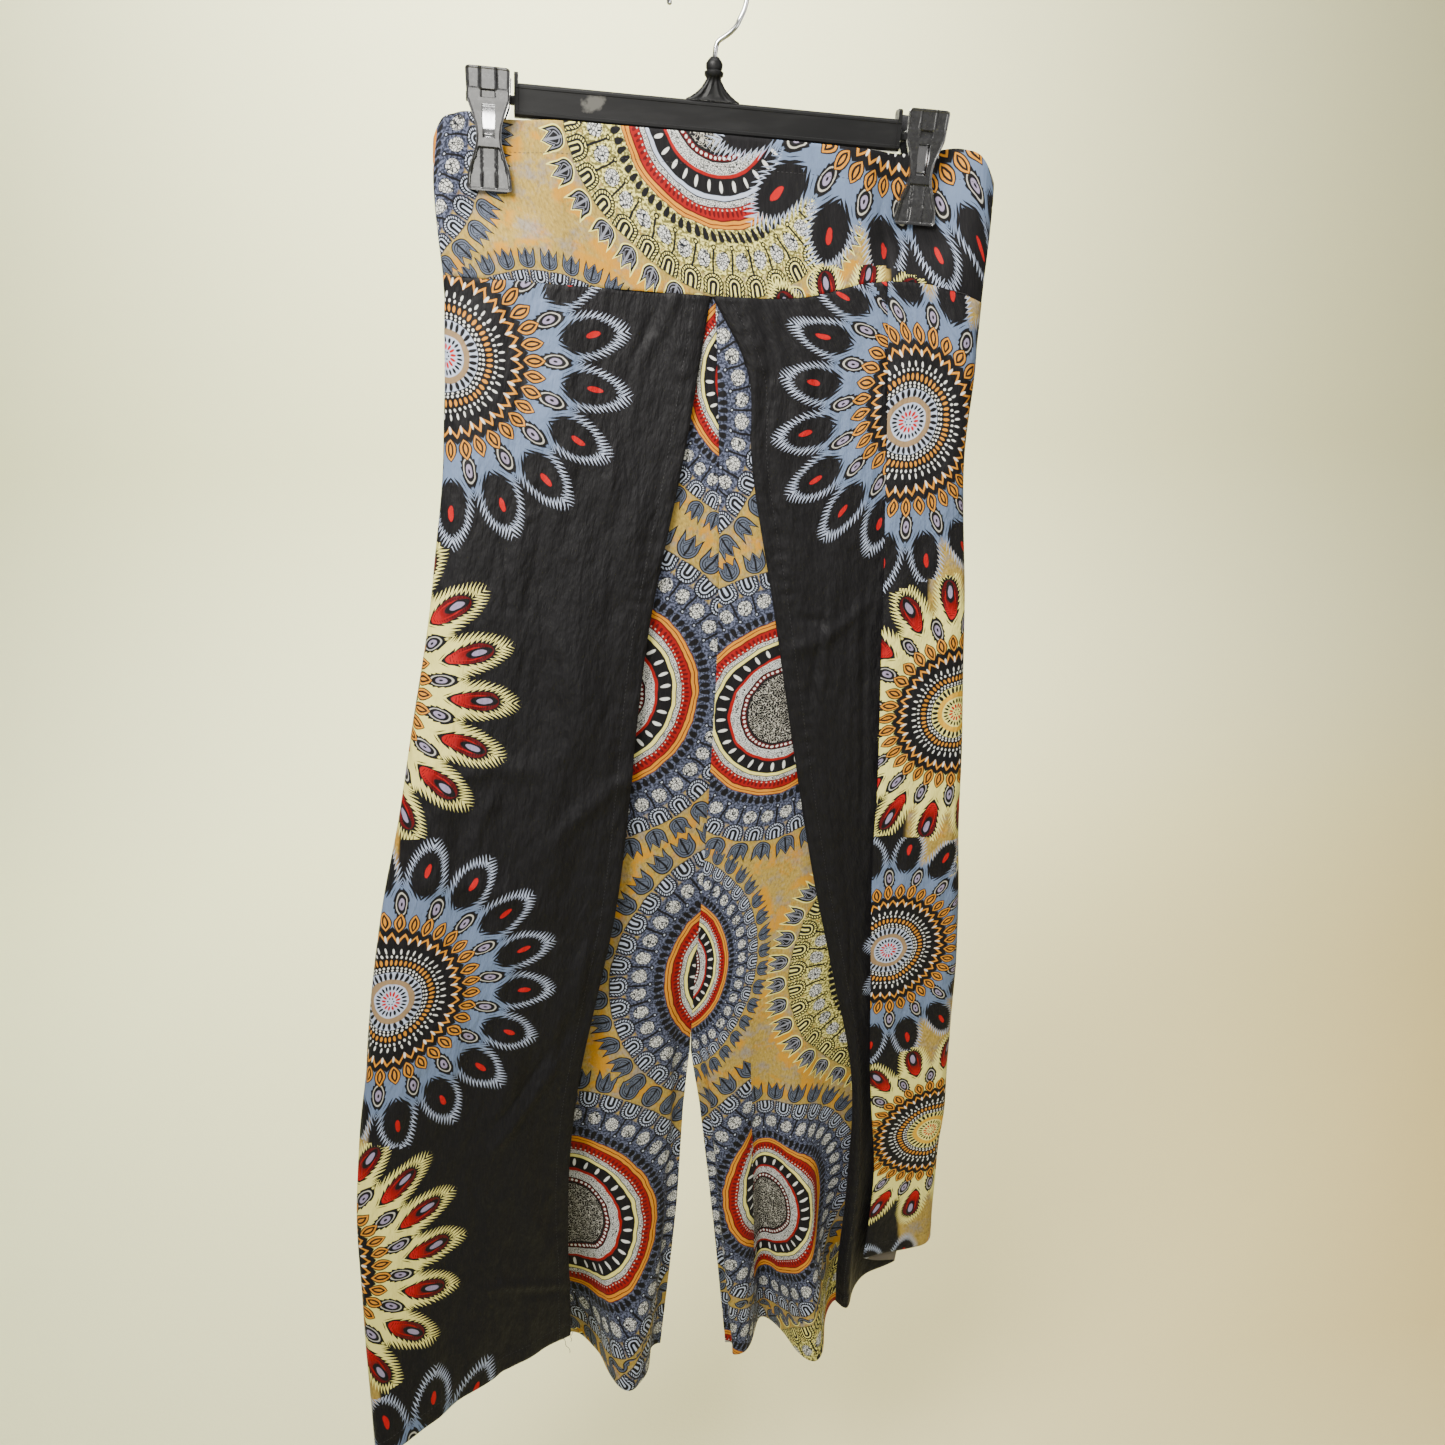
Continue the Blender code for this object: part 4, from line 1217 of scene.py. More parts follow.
@dataclass
class HangingPanel(Panel):
    """A panel that hangs from the waist seam.

    Attributes:
        steps: Columns along each stretch of the section's spline.
        rows: Number of rows.
        hem: Drop of the hem at each corner of the section.
    """

    steps: tuple[int, ...] = ()
    rows: int = 300
    hem: Array = field(default_factory=lambda: np.zeros(0))

    def corners(self, drop: Array) -> Array:
        """x and y of the section's corners at each drop."""
        raise NotImplementedError

    def middle(self) -> Array:
        """Points of the middle surface.

        Every column hangs from just below the waist seam down to the hem. The
        top is found by going back and forth between a column's x and the
        waist seam's drop there.
        """
        weights = curve_weights(self.steps)
        start = np.full(len(weights), WAIST_DROP)
        for _ in range(4):
            x = np.einsum("ck,krc->rc", weights, self.corners(start[None, :])[0])
            start = band_edge(x[0], 2) + SEAM_GAP
        drop = drops(start, weights @ self.hem, self.rows)
        x, y = (np.einsum("ck,krc->rc", weights, part) for part in self.corners(drop))
        return np.stack([x, y, -drop], axis=-1)


@dataclass
class OverlayLeft(HangingPanel):
    """The left overlay, drawn out to the side and forwards at its hem."""

    def corners(self, drop: Array) -> Array:
        """x and y of the table's corners, and one halfway between its first two."""
        xy = table_corners(OVERLAY_LEFT, drop)
        return np.concatenate([xy[:, :1], 0.5 * (xy[:, :1] + xy[:, 1:2]), xy[:, 1:]], axis=1)


@dataclass
class OverlayRight(HangingPanel):
    """The right overlay, with its deep pleat and its rolled front edge."""

    def corners(self, drop: Array) -> Array:
        """x and y of the corners along the front, round the pleat and round the side."""
        (edge_x, edge_y, roll, under, pleat_x, intake, layer, fold_x, back, seam_x,
         seam_y) = (follow(OVERLAY_RIGHT, k, drop) for k in range(1, 12))
        width = pleat_x - edge_x
        over = under - 2 * layer
        x = (edge_x, edge_x + ROLL_SPAN[0] * width, edge_x + ROLL_SPAN[1] * width,
             pleat_x + intake, pleat_x + intake, pleat_x, pleat_x,
             0.5 * (pleat_x + fold_x), fold_x, fold_x, seam_x)
        y = (edge_y, edge_y - roll, under + ROLL_SPAN[0] * roll,
             under, under - layer, under - layer, over, over - 0.5 * WALL, over, back, seam_y)
        return np.array((x, y))


@dataclass
class Leg(HangingPanel):
    """A leg panel, from the centre seam and the inseam to the side seam."""

    rows: int = 240
    side: Side = Side.LEFT
    table: Array = field(default_factory=lambda: LEG_FRONT_LEFT)
    back: bool = False

    def centre(self, drop: Array) -> tuple[Array, Array]:
        """The edge at the centre seam and the inseam."""
        apart = np.interp(drop, CENTRE[:, 0], CENTRE[:, 2]) + SEAM_GAP
        return (follow(CENTRE, 1, drop) + self.side.value * apart / 2,
                follow(CENTRE, 4 if self.back else 3, drop))

    def side_seam(self, drop: Array) -> tuple[Array, Array]:
        """The edge at the side seam, a layer in front of the overlay's."""
        left = self.side is Side.LEFT
        rows = OVERLAY_LEFT if left else OVERLAY_RIGHT
        layers = np.interp(drop, *LEFT_LAYERS) if left else 1.0
        gap = np.interp(drop, *SIDE_GAPS) * SEAM_GAP if self.back else 0.0
        last = rows.shape[1]
        return (follow(rows, last - 2, drop) - self.side.value * gap,
                follow(rows, last - 1, drop) - LAYER * layers)

    def corners(self, drop: Array) -> Array:
        """x and y of the section's corners, which starts level at the centre."""
        x, y = self.centre(drop)
        first = [[x, x + math.copysign(LEVEL, self.table[0, 1])], [y, y]]
        last = np.array(self.side_seam(drop))[:, None]
        return np.concatenate([first, table_corners(self.table, drop), last], axis=1)

    def middle(self) -> Array:
        """Points of the middle surface, with the back's gathers."""
        points = super().middle()
        if self.back:
            x = points[..., 0]
            fade = np.clip(1 + (points[..., 2] + WAIST_DROP) / GATHER_FADE, 0.0, 1.0)
            inset = np.minimum(np.abs(x - x[:, :1]), np.abs(x - x[:, -1:])) / GATHER_MARGIN
            points[..., 1] += (GATHER_DEPTH * np.sin(math.pi * x / GATHER_PITCH)
                               * fade * np.clip(inset, 0, 1))
        return points


@dataclass
class Waistband(Panel):
    """Half of the waistband: the flat front or the gathered back.

    Attributes:
        rows: Number of rows.
        refine: How many columns there are for each of the solid's.
        casing: Distance of the elastic casing's stitch line below the top.
    """

    rows: int = 48
    refine: int = 4
    casing: float = 0.018

    @staticmethod
    def half_depth(x: Array, drop: Array) -> Array:
        """Half the depth of the loop, pressed together under the clips' jaws."""
        weight = np.zeros(np.broadcast(x, drop).shape)
        for side in Side:
            reach = side.value * CLIP_X
            middle_x = BAR_X + reach * math.cos(TILT)
            jaw_end = BAR_DROP + reach * math.sin(TILT) + PINCH_DROP
            across = ease((np.abs(x - middle_x) - PINCH_FLAT) / PINCH_SIDE)
            below = ease((drop - jaw_end) / PINCH_BELOW)
            weight = np.maximum(weight, (1 - across) * (1 - below))
        return BAND_DEPTH + (PINCH - BAND_DEPTH) * weight

    def thickness(self, u: Array) -> Array:
        """The band is two layers of cloth, thicker in the casing along its top."""
        share = np.linspace(0, 1, len(u))[:, None] + 0 * u
        casing = 1 - ease((share - 0.17) / 0.03)
        return BAND_THICK + (CASING_THICK - BAND_THICK) * casing


@dataclass
class WaistbandFront(Waistband):
    """The flat front of the waistband, round both sides to the side seams.

    Sides says for each corner whether it is at the back (1) or in front (-1).
    """

    steps: tuple[int, ...] = (12, 8, 12, 5, 12, 8, 8)
    sides: tuple[float, ...] = (1, 1, -1, -1, -1, -1, -1, 1, 1)

    def across(self, weights: Array, drop: Array) -> Array:
        """x of every column at each drop, given the corners' weights in it."""
        left, right = follow(BAND_FOLDS, 1, drop), follow(BAND_FOLDS, 2, drop)
        level = np.ones_like(drop)
        x = np.array([BAND_SEAM_LEFT * level, left, left, *(x * level for x in BAND_FRONT_X),
                      right, right, BAND_SEAM_RIGHT * level])
        return np.einsum("ck,krc->rc", weights, x)

    def middle(self) -> Array:
        """Points of the middle surface."""
        weights = curve_weights([n * self.refine for n in self.steps])
        top = seam = np.full(len(weights), WAIST_DROP)
        for _ in range(4):
            top = band_edge(self.across(weights, top[None, :])[0], 1)
            seam = band_edge(self.across(weights, seam[None, :])[0], 2)
        drop = drops(top, seam, self.rows)
        x = self.across(weights, drop)
        layer = weights @ np.array(self.sides)
        return np.stack([x, layer * self.half_depth(x, drop), -drop], axis=-1)

    def relief(self, u: Array, v: Array) -> Array:
        """Creases, and a groove with puckers along the casing's stitches."""
        groove = bell(v - self.casing, 0.0009)
        pucker = np.sin(u * 480 + 2 * np.sin(u * 37)) * bell(v - self.casing, 0.006)
        return super().relief(u, v) - 0.0003 * groove + 0.00018 * pucker


@dataclass
class WaistbandBack(Waistband):
    """The gathered, elastic back of the waistband."""

    def middle(self) -> Array:
        """Points of the middle surface, in gathers along x."""
        gathers = int(round((BAND_SEAM_RIGHT - BAND_SEAM_LEFT) / GATHER_PITCH))
        x = np.linspace(BAND_SEAM_LEFT + SEAM_GAP, BAND_SEAM_RIGHT - SEAM_GAP, gathers * 12 + 1)
        top, seam = band_edge(x, 1), band_edge(x, 2)
        drop = drops(top, seam, self.rows)
        inset = np.minimum(x - BAND_SEAM_LEFT, BAND_SEAM_RIGHT - x) / GATHER_MARGIN
        wave = GATHER_DEPTH * np.sin(2 * math.pi * x / GATHER_PITCH) * np.clip(inset, 0, 1)
        half = self.half_depth(x, drop)
        room = (half - PINCH) / (BAND_DEPTH - PINCH)
        return np.stack([np.broadcast_to(x, drop.shape), half + wave * room, -drop], axis=-1)


# Soft troughs and ridges of each panel, in millimetres apart from the angle
CREASES = {
    # u, v, degrees from straight down, length, width, height, bow
    "waistband_front": (
        (151, 54, 1, 22, 2.4, -0.9, 0), (171, 64, -20, 32, 3, -1, 1), (183, 45, -8, 70, 7, 1.2, 0),
        (245, 59, -17, 80, 7, 1.2, 2), (300, 50, 12, 75, 8, -1, -2), (354, 57, -14, 60, 5, 1.1, 0),
        (401, 70, -3, 55, 1.8, -1.4, 0), (406, 68, -3, 60, 3.4, 1.4, 0),
        (447, 61, -13, 71, 5, 1.1, 0), (123, 81, 2, 33, 3, -1, 0), (60, 40, 9, 70, 6, 1, 0),
        (500, 50, -7, 70, 6, 1, 0), (540, 45, 10, 70, 5, -0.9, 0),
    ),
    "overlay_left": (
        (35, 24, 16, 59, 2, -1.8, 2), (28, 23, 16, 58, 3.6, 1.8, 2),
        (107, 204, -12, 70, 2.1, -0.9, 0), (88, 202, 1, 70, 2.1, -0.9, 0),
        (98, 168, 85, 18, 2.8, 0.6, 3), (95, 233, -89, 20, 2.8, -0.9, 0),
        (18, 517, 0, 70, 4.5, 3.4, -2), (19, 558, -1, 81, 2.6, -2.2, 2),
        (39, 622, 31, 99, 4, 2.8, 3), (44, 606, 30, 85, 2.8, -2, 3), (33, 798, -74, 90, 4, 1.8, 2),
        (19, 812, -75, 55, 3.2, -1.3, 0), (78, 716, -6, 95, 2.4, -1.4, 2),
        (68, 772, -16, 56, 2.4, -1.3, 0), (43, 140, -32, 140, 12, 2.6, 6),
        (43, 292, -24, 130, 14, 2.8, -5), (97, 350, -98, 60, 7, 1.6, 3),
        (29, 371, -138, 95, 7, 3, 4), (108, 388, -162, 50, 5, 1.6, 0),
        (101, 443, -76, 110, 9, 1.9, 4), (26, 749, -21, 120, 8, 2.2, 0),
        (130, 791, -7, 200, 10, 2.6, 4), (41, 178, -6, 140, 2.8, 1, 0),
        (70, 560, -10, 260, 10, 2.2, 6), (62, 860, 12, 70, 5, -1.4, 0),
        (200, 150, 12, 150, 7, 2.2, 5), (235, 330, -15, 130, 8, 2.4, -4),
        (182, 520, 8, 170, 8, 2.2, 3), (240, 640, -20, 110, 5, -1.6, 2),
        (205, 800, 10, 130, 7, 2, 0), (262, 480, 4, 220, 6, 1.5, 3),
    ),
    "overlay_right": (
        (19, 39, -17, 95, 2, -1.3, 1), (10, 110, 1, 100, 2, -1.1, 0),
        (26, 47, -14, 110, 2.8, 1.4, 2), (10, 35, -18, 70, 2.4, 1.2, 0),
        (27, 264, -16, 75, 2.2, -1.4, 1), (33, 265, -14, 88, 3.6, 1.5, 1),
        (58, 334, -7, 225, 2.2, -1.4, 0), (52, 330, -7, 225, 3.6, 1.2, 0),
        (26, 235, 69, 28, 3, -1.4, 0), (42, 249, 105, 72, 5.5, 1.8, 3),
        (18, 531, -10, 65, 2.2, -1.5, 0), (35, 411, -5, 190, 4.5, 1.3, 3),
        (38, 66, -16, 100, 8, 1.5, 0), (70, 160, 10, 130, 8, 1.2, 4),
        (200, 120, -10, 130, 6, 1.4, 3), (240, 300, 14, 130, 7, 1.5, 0),
        (178, 480, 6, 150, 6, 1.4, 2), (230, 600, -16, 120, 5, -1.2, 0),
        (200, 780, 8, 130, 7, 1.4, 3), (140, 700, -4, 200, 5, 1, 0),
    ),
    "leg_front_left": (
        (30, 450, -54, 70, 5.5, 1.6, 0), (63, 585, -26, 100, 7, 1.8, 3),
        (13, 683, -7, 200, 6, 2, 2), (10, 279, -1, 140, 3, -1, 0), (90, 420, 18, 150, 8, 1.6, 4),
        (80, 800, -12, 140, 7, 1.8, 3), (150, 500, 8, 220, 9, 1.6, 0),
        (230, 620, -10, 180, 8, 1.6, 0),
    ),
    "leg_front_right": (
        (53, 494, 24, 45, 2.6, 1.4, 0), (51, 587, 8, 50, 2.6, 1.4, 0),
        (10, 194, -2, 120, 3.2, -1.2, 1), (15, 101, -2, 125, 2.8, 1, 0),
        (104, 627, 12, 125, 7, 1.8, 3), (50, 360, -20, 110, 7, 1.4, 3),
        (80, 800, 10, 150, 7, 1.8, 0), (200, 600, 8, 180, 8, 1.2, 0),
    ),
    "leg_back_left": (
        (60, 300, 10, 170, 8, 2.2, 4), (130, 420, -12, 150, 7, 1.8, -3),
        (55, 600, 8, 170, 8, 2.2, 3), (150, 720, -14, 140, 6, 1.8, 0),
        (100, 820, 5, 120, 6, -1.6, 2),
    ),
    "leg_back_right": (
        (50, 280, -9, 160, 8, 2.2, 3), (120, 400, 13, 150, 7, 1.8, 3),
        (60, 580, -7, 180, 8, 2.2, -3), (130, 700, 12, 130, 6, 1.8, 0),
        (80, 830, -5, 110, 6, -1.6, 0),
    ),
}

PRINTS = {
    # wheels, medallions: u, v, width, height, span
    "waistband_front": (
        (blue(0.4175, -0.046, 1.16, 1.24), cream(0.37, 0.1735, 0.87, 0.87)),
        (blue(0.048, -0.0005, 0.94, 0.94), cream(0.2925, -0.02, 0.955, 1.12),
         blue(0.164, 0.17, 0.79, 0.79))),
    "waistband_back": ((), (blue(0.06, -0.02), cream(0.17, 0.09))),
    "overlay_left": (
        (blue(0.1664, 0.0761, 1.033, 1.033), cream(0.216, 0.3, 1.07, 1.015),
         blue(0.162, 0.5247, 1.04, 1.04), cream(0.215, 0.7345, 1.05, 1.01),
         blue(0.145, 0.972, 1.15, 1.15)),
        (cream(0.283, 0.05), cream(0.283, 0.5), cream(0.283, 0.95))),
    "overlay_right": (
        (blue(0.1351, 0.1003, span=(-1.0, 0.11)), blue(0.1335, 0.1188, 0.98, 1.105, (0.11, 1.0)),
         cream(0.187, 0.353, 0.98, 1.07), blue(0.1414, 0.5735, 0.96, 1.0),
         cream(0.181, 0.781, 1.0, 0.89), blue(0.141, 1.01, 0.96, 0.95)),
        (cream(0.29, 0.13), cream(0.29, 0.56), cream(0.29, 0.98))),
    "leg_front_left": ((), (
        blue(0.0907, 0.2793, 1.165, 1.15), blue(0.107, 0.7625, 1.22, 1.3),
        blue(-0.0555, 0.5292, 1.23, 1.265), blue(-0.0325, 0.0545, 0.84, 0.92),
        blue(-0.02, 1.000, 1.2, 1.25), cream(0.235, 0.06), cream(0.235, 0.53),
        cream(0.235, 0.985, 1.1, 1.1))),
    "leg_front_right": ((), (
        blue(-0.067, 0.0734, 0.99, 1.11), blue(-0.018, 0.5213, 0.67, 0.99),
        blue(0.0556, 0.298, 1.12, 1.07), blue(0.0655, 0.784, 1.07, 1.13, (0.053, 1.0)),
        blue(0.1048, 0.7573, 1.26, 1.24, (-1.0, 0.053)), blue(-0.01, 0.985, 1.0, 1.15),
        cream(0.2053, 0.5393, 1.2, 1.21), cream(0.205, 0.07), cream(0.195, 0.99, 1.1, 1.15))),
    "leg_back_left": ((), (
        blue(-0.03, 0.05), blue(-0.04, 0.52, 1.2, 1.2), blue(0.085, 0.28, 1.15, 1.15),
        blue(0.09, 0.76, 1.2, 1.2), cream(0.215, 0.06), cream(0.215, 0.53))),
    "leg_back_right": ((), (
        blue(-0.05, 0.07), blue(-0.03, 0.53, 1.1, 1.1), blue(0.065, 0.3, 1.1, 1.1),
        blue(0.07, 0.78, 1.1, 1.15), cream(0.19, 0.07), cream(0.19, 0.54))),
}


class Garment:
    """All the cut pieces of the wrap pants."""

    def __init__(self) -> None:
        """Set out every panel."""
        band, back = ("waistband_front",), ("waistband_back",)
        overlay = dict(rests_on=band + back, hem_width=HEM_WIDTH, black_way=-1)
        back_leg = dict(held="gathered", rests_on=back, ripple=0.0008, steps=(10, 36, 36),
                        rows=200, back=True)
        self.panels: list[Panel] = [
            WaistbandFront("waistband_front", Slot.PRINT, -1, (0.58, 0.105), 0.0600,
                           rests_on=("clip_front_left", "clip_front_right"), ripple=0.0002,
                           black_edge=0.398, black_way=1),
            WaistbandBack("waistband_back", Slot.PRINT, 1, (0.26, 0.105), 0.0273,
                          held="gathered", rests_on=("clip_back_left", "clip_back_right")),
            OverlayLeft("overlay_left", Slot.OVERLAY, 1, (0.31, 0.90), 0.262, lean=0.16,
                        ripple=0.0014, gather=0.0012, black_edge=0.165,
                        steps=(50, 46, 32, 24), hem=OVERLAY_LEFT_HEM, **overlay),
            OverlayRight("overlay_right", Slot.OVERLAY, -1, (0.31, 0.92), 0.262, lean=0.13,
                         ripple=0.0009, gather=0.0008, black_edge=0.152,
                         steps=(22, 22, 18, 12, 12, 12, 18, 18, 18), hem=OVERLAY_RIGHT_HEM,
                         **overlay),
            Leg("leg_front_left", Slot.PRINT, 1, (0.30, 0.95), 0.262, rests_on=band,
                side=Side.LEFT, table=LEG_FRONT_LEFT, hem=LEG_FRONT_LEFT_HEM,
                steps=(8, 12, 20, 22, 14, 14, 10), ripple=0.0007, gather=0.0006),
            Leg("leg_front_right", Slot.PRINT, -1, (0.28, 0.95), 0.240, rests_on=band,
                side=Side.RIGHT, table=LEG_FRONT_RIGHT, hem=LEG_FRONT_RIGHT_HEM,
                steps=(8, 8, 12, 12, 20, 14, 16, 14), ripple=0.0005, gather=0.0004),
            Leg("leg_back_left", Slot.PRINT, -1, (0.26, 0.95), 0.185, side=Side.LEFT,
                table=LEG_BACK_LEFT, hem=LEG_BACK_LEFT_HEM, **back_leg),
            Leg("leg_back_right", Slot.PRINT, 1, (0.22, 0.95), 0.165, side=Side.RIGHT,
                table=LEG_BACK_RIGHT, hem=LEG_BACK_RIGHT_HEM, **back_leg),
        ]

    def build(self) -> None:
        """Make every panel, and sew them."""
        pattern = Print(Inks())
        finishes = {
            Slot.PRINT: [ClothFinish("print_cloth").build(pattern),
                         ClothFinish("print_cloth_wrong_side", 0.5).build(pattern)],
            Slot.OVERLAY: [ClothFinish("overlay_cloth", 0.0, 0.60, 0.015, 0.0010).build(pattern),
                           ClothFinish("overlay_cloth_wrong_side", 0.4).build(pattern)],
        }
        for panel in self.panels:
            piece = panel.build(finishes[panel.slot])
            LOG.info("%s: %d faces", piece.name, len(piece.data.polygons))
        self.sew()

    def sew(self) -> None:
        """Stitch the casing, the overlays' front edges and the hems."""
        panels = {panel.name: panel for panel in self.panels}
        dark = HardFinish("dark_thread", linear(26, 25, 28), linear(60, 58, 62), 0.55, 0.2,
                          grain=(2500.0, 2500.0, 2500.0)).build()
        for side in Side:
            overlay = panels[f"overlay_{side.word}"]
            Stitching(f"overlay_stitches_{side.word}").build(
                [overlay.line(Edge.FIRST, HEM_WIDTH),
                 overlay.line(Edge.BOTTOM, OVERLAY_HEM_STITCHES)], Slot.OVERLAY, dark)
        Stitching("casing_stitches").build(
            [panel.line(Edge.TOP, panel.casing) for panel in self.panels
             if isinstance(panel, Waistband)], Slot.PRINT, dark)
        for thread in (
            LooseThread("thread_hem_left", "overlay_left", Edge.BOTTOM, 0.01, (0.004, 0.018)),
            LooseThread("thread_edge_left", "overlay_left", Edge.FIRST, 0.985, (0.006, 0.010)),
            LooseThread("thread_hem_leg", "leg_front_left", Edge.BOTTOM, 0.55, (-0.003, 0.013)),
            LooseThread("thread_seam_right", "overlay_right", Edge.TOP, 0.72, (0.016, 0.004)),
        ):
            thread.build(panels[thread.panel], dark)
        Stitching("hem_stitches").build(
            [panel.line(Edge.BOTTOM, LEG_HEM_STITCHES) for panel in self.panels
             if isinstance(panel, Leg)], Slot.PRINT, dark)


@dataclass(frozen=True)
class Stitching:
    """Rows of stitches along the seams and hems, with a stitch at each pitch."""

    name: str
    length: float = 0.0021
    pitch: float = 0.0029
    radius: float = 0.00016

    def stitches(self, line: Array, normal: Array) -> Array:
        """The points of one row of stitches.

        A stitch is a spindle: rings of four points on three stations, and a
        point at either end that dips into the cloth.

        Args:
            line: Places along the row.
            normal: The cloth's normal at each place.

        Returns:
            Fourteen points for each stitch.
        """
        reach = lengths_along(line, 0)
        middle = np.arange(self.pitch, reach[-1] - self.pitch, self.pitch)
        ends = middle - self.length / 2, middle + self.length / 2
        at, up, behind, before = (
            np.stack([np.interp(s, reach, values[:, k]) for k in range(3)], axis=-1)
            for s, values in ((middle, line), (middle, normal), (ends[0], line), (ends[1], line)))
        up, ahead = unit(up), unit(before - behind)
        side = np.cross(up, ahead)
        along = np.array((-0.5, -0.3, 0.0, 0.3, 0.5)) * self.length
        wide = np.array((0.0, 0.9, 1.1, 0.9, 0.0)) * self.radius
        lift = np.array((-1.0, 0.2, 0.6, 0.2, -1.0)) * self.radius
        turn = np.array((0.0, 0.5, 1.0, 1.5)) * math.pi
        ring = (at[:, None, None] + ahead[:, None, None] * along[:, None, None]
                + up[:, None, None] * (lift[:, None] + wide[:, None] * np.sin(turn))[..., None]
                + side[:, None, None] * (wide[:, None] * np.cos(turn))[..., None])
        return np.concatenate([ring[:, 0, :1], ring[:, 1:4].reshape(len(at), 12, 3),
                               ring[:, 4, :1]], axis=1)

    def build(self, lines: Sequence[tuple[Array, Array]], slot: Slot,
              finish: Material) -> None:
        """Make all the stitches as one piece.

        Args:
            lines: Places and normals along each row of stitches.
            slot: Material slot of the cloth; not used.
            finish: The thread's material.
        """
        points = np.concatenate([self.stitches(*line) for line in lines])
        start = 14 * np.arange(len(points))[:, None, None]
        k = np.arange(4)
        after = (k + 1) % 4
        quads = np.concatenate([np.stack([1 + s + k, 1 + s + after, 5 + s + after, 5 + s + k], 1)
                                for s in (0, 4)])
        tips = np.concatenate([np.stack([0 * k, 1 + after, 1 + k], 1),
                               np.stack([0 * k + 13, 9 + k, 9 + after], 1)])
        faces = (start + quads).reshape(-1, 4).tolist() + (start + tips).reshape(-1, 3).tolist()
        piece = make_mesh(self.name, points, faces, [finish], 80)
        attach(piece, "root")
        LOG.info("%s: %d stitches", self.name, len(points))


@dataclass(frozen=True)
class LooseThread:
    """A thread end that hangs from an edge of a panel, at a share along it.

    It goes as far sideways and down as reach says, in waves as wide as curl,
    and inset is its distance from the edge and off the cloth.
    """

    name: str
    panel: str
    edge: Edge
    share: float
    reach: tuple[float, float]
    curl: float = 0.0012
    radius: float = 0.00022
    inset: float = 0.0004

    def build(self, panel: Panel, finish: Material) -> None:
        """Make it as a thin tube along a wavy line.

        Args:
            panel: The panel, once it is built.
            finish: The thread's material.
        """
        line, _ = panel.line(self.edge, self.inset)
        start = line[int(round(self.share * (len(line) - 1)))]
        s = np.linspace(0.0, 1.0, 25)
        path = np.stack([start[0] + self.reach[0] * s + self.curl * np.sin(s * 9) * s,
                         start[1] + self.curl * np.cos(s * 7) * s - self.inset,
                         start[2] - self.reach[1] * (0.35 * s + 0.65 * s * s)], axis=1)
        points, faces = tube(path, self.radius, 8)
        piece = make_mesh(self.name, points, faces, [finish], 80)
        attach(piece, "root")
        LOG.info("%s: %d faces", self.name, len(faces))


# Hanger


def tube(path: Array, radius: float, sides: int = 16) -> tuple[Array, list]:
    """A round tube along a path, closed by round ends.

    At each station a circle of the radius lies across the path, and at both
    ends three smaller circles and a point round it off.

    Args:
        path: Points along its middle.
        radius: Its radius.
        sides: Points round it.

    Returns:
        Places of the points, and the faces.
    """
    ahead = unit(np.gradient(path, axis=0))
    dome = np.radians((75.0, 50.0, 25.0))
    head = path[0] - ahead[0] * radius * np.sin(dome)[:, None]
    tail = path[-1] + ahead[-1] * radius * np.sin(dome[::-1])[:, None]
    middles = np.concatenate([head, path, tail])
    sizes = radius * np.concatenate([np.cos(dome), np.ones(len(path)), np.cos(dome[::-1])])
    ways = np.concatenate([np.repeat(ahead[:1], 3, 0), ahead, np.repeat(ahead[-1:], 3, 0)])
    side = unit(np.cross(ways, np.array((0.0, 1.0, 0.003))))
    up = np.cross(side, ways)
    turn = np.linspace(0, 2 * math.pi, sides, endpoint=False)
    rings = (middles[:, None] + sizes[:, None, None]
             * (side[:, None] * np.cos(turn)[:, None] + up[:, None] * np.sin(turn)[:, None]))
    tips = np.stack([path[0] - ahead[0] * radius, path[-1] + ahead[-1] * radius])
    count = len(middles) * sides
    k = np.arange(sides)
    after, last = (k + 1) % sides, count - sides
    faces = grid_quads(len(middles), sides, closed=True)[:, ::-1].tolist()
    faces += np.stack([0 * k + count, k, after], 1).tolist()
    faces += np.stack([0 * k + count + 1, last + after, last + k], 1).tolist()
    return np.concatenate([rings.reshape(-1, 3), tips]), faces


def loft(sections: Array) -> tuple[Array, list]:
    """A closed body through rings of points, with flat ends."""
    rings, sides = sections.shape[:2]
    last = (rings - 1) * sides
    faces = grid_quads(rings, sides, closed=True).tolist()
    faces += [list(range(sides - 1, -1, -1)), list(range(last, last + sides))]
    return sections.reshape(-1, 3), faces


def plate(outer: Array, inner: Array, hole: tuple[int, int, int, int]) -> tuple[Array, list]:
    """A plate between two grids of points, with walls round it and its hole.

    Args:
        outer: Points of the outer face, rows by columns.
        inner: Points of the inner face.
        hole: First and last row and column of the hole through it.

    Returns:
        Places of the points, and the faces.
    """
    rows, columns = outer.shape[:2]
    index = np.arange(rows * columns).reshape(rows, columns)
    r0, r1, c0, c1 = hole
    keep = np.ones((rows - 1, columns - 1), bool)
    keep[r0:r1, c0:c1] = False
    loops = border(index), border(index[r0:r1 + 1, c0:c1 + 1])[::-1]
    sheet = grid_quads(rows, columns)[keep.ravel()]
    count = rows * columns
    walls = [np.stack([loop, loop + count, np.roll(loop, -1) + count, np.roll(loop, -1)], axis=1)
             for loop in loops]
    faces = np.concatenate([sheet, sheet[:, ::-1] + count, *walls])
    return np.concatenate([outer.reshape(-1, 3), inner.reshape(-1, 3)]), faces.tolist()


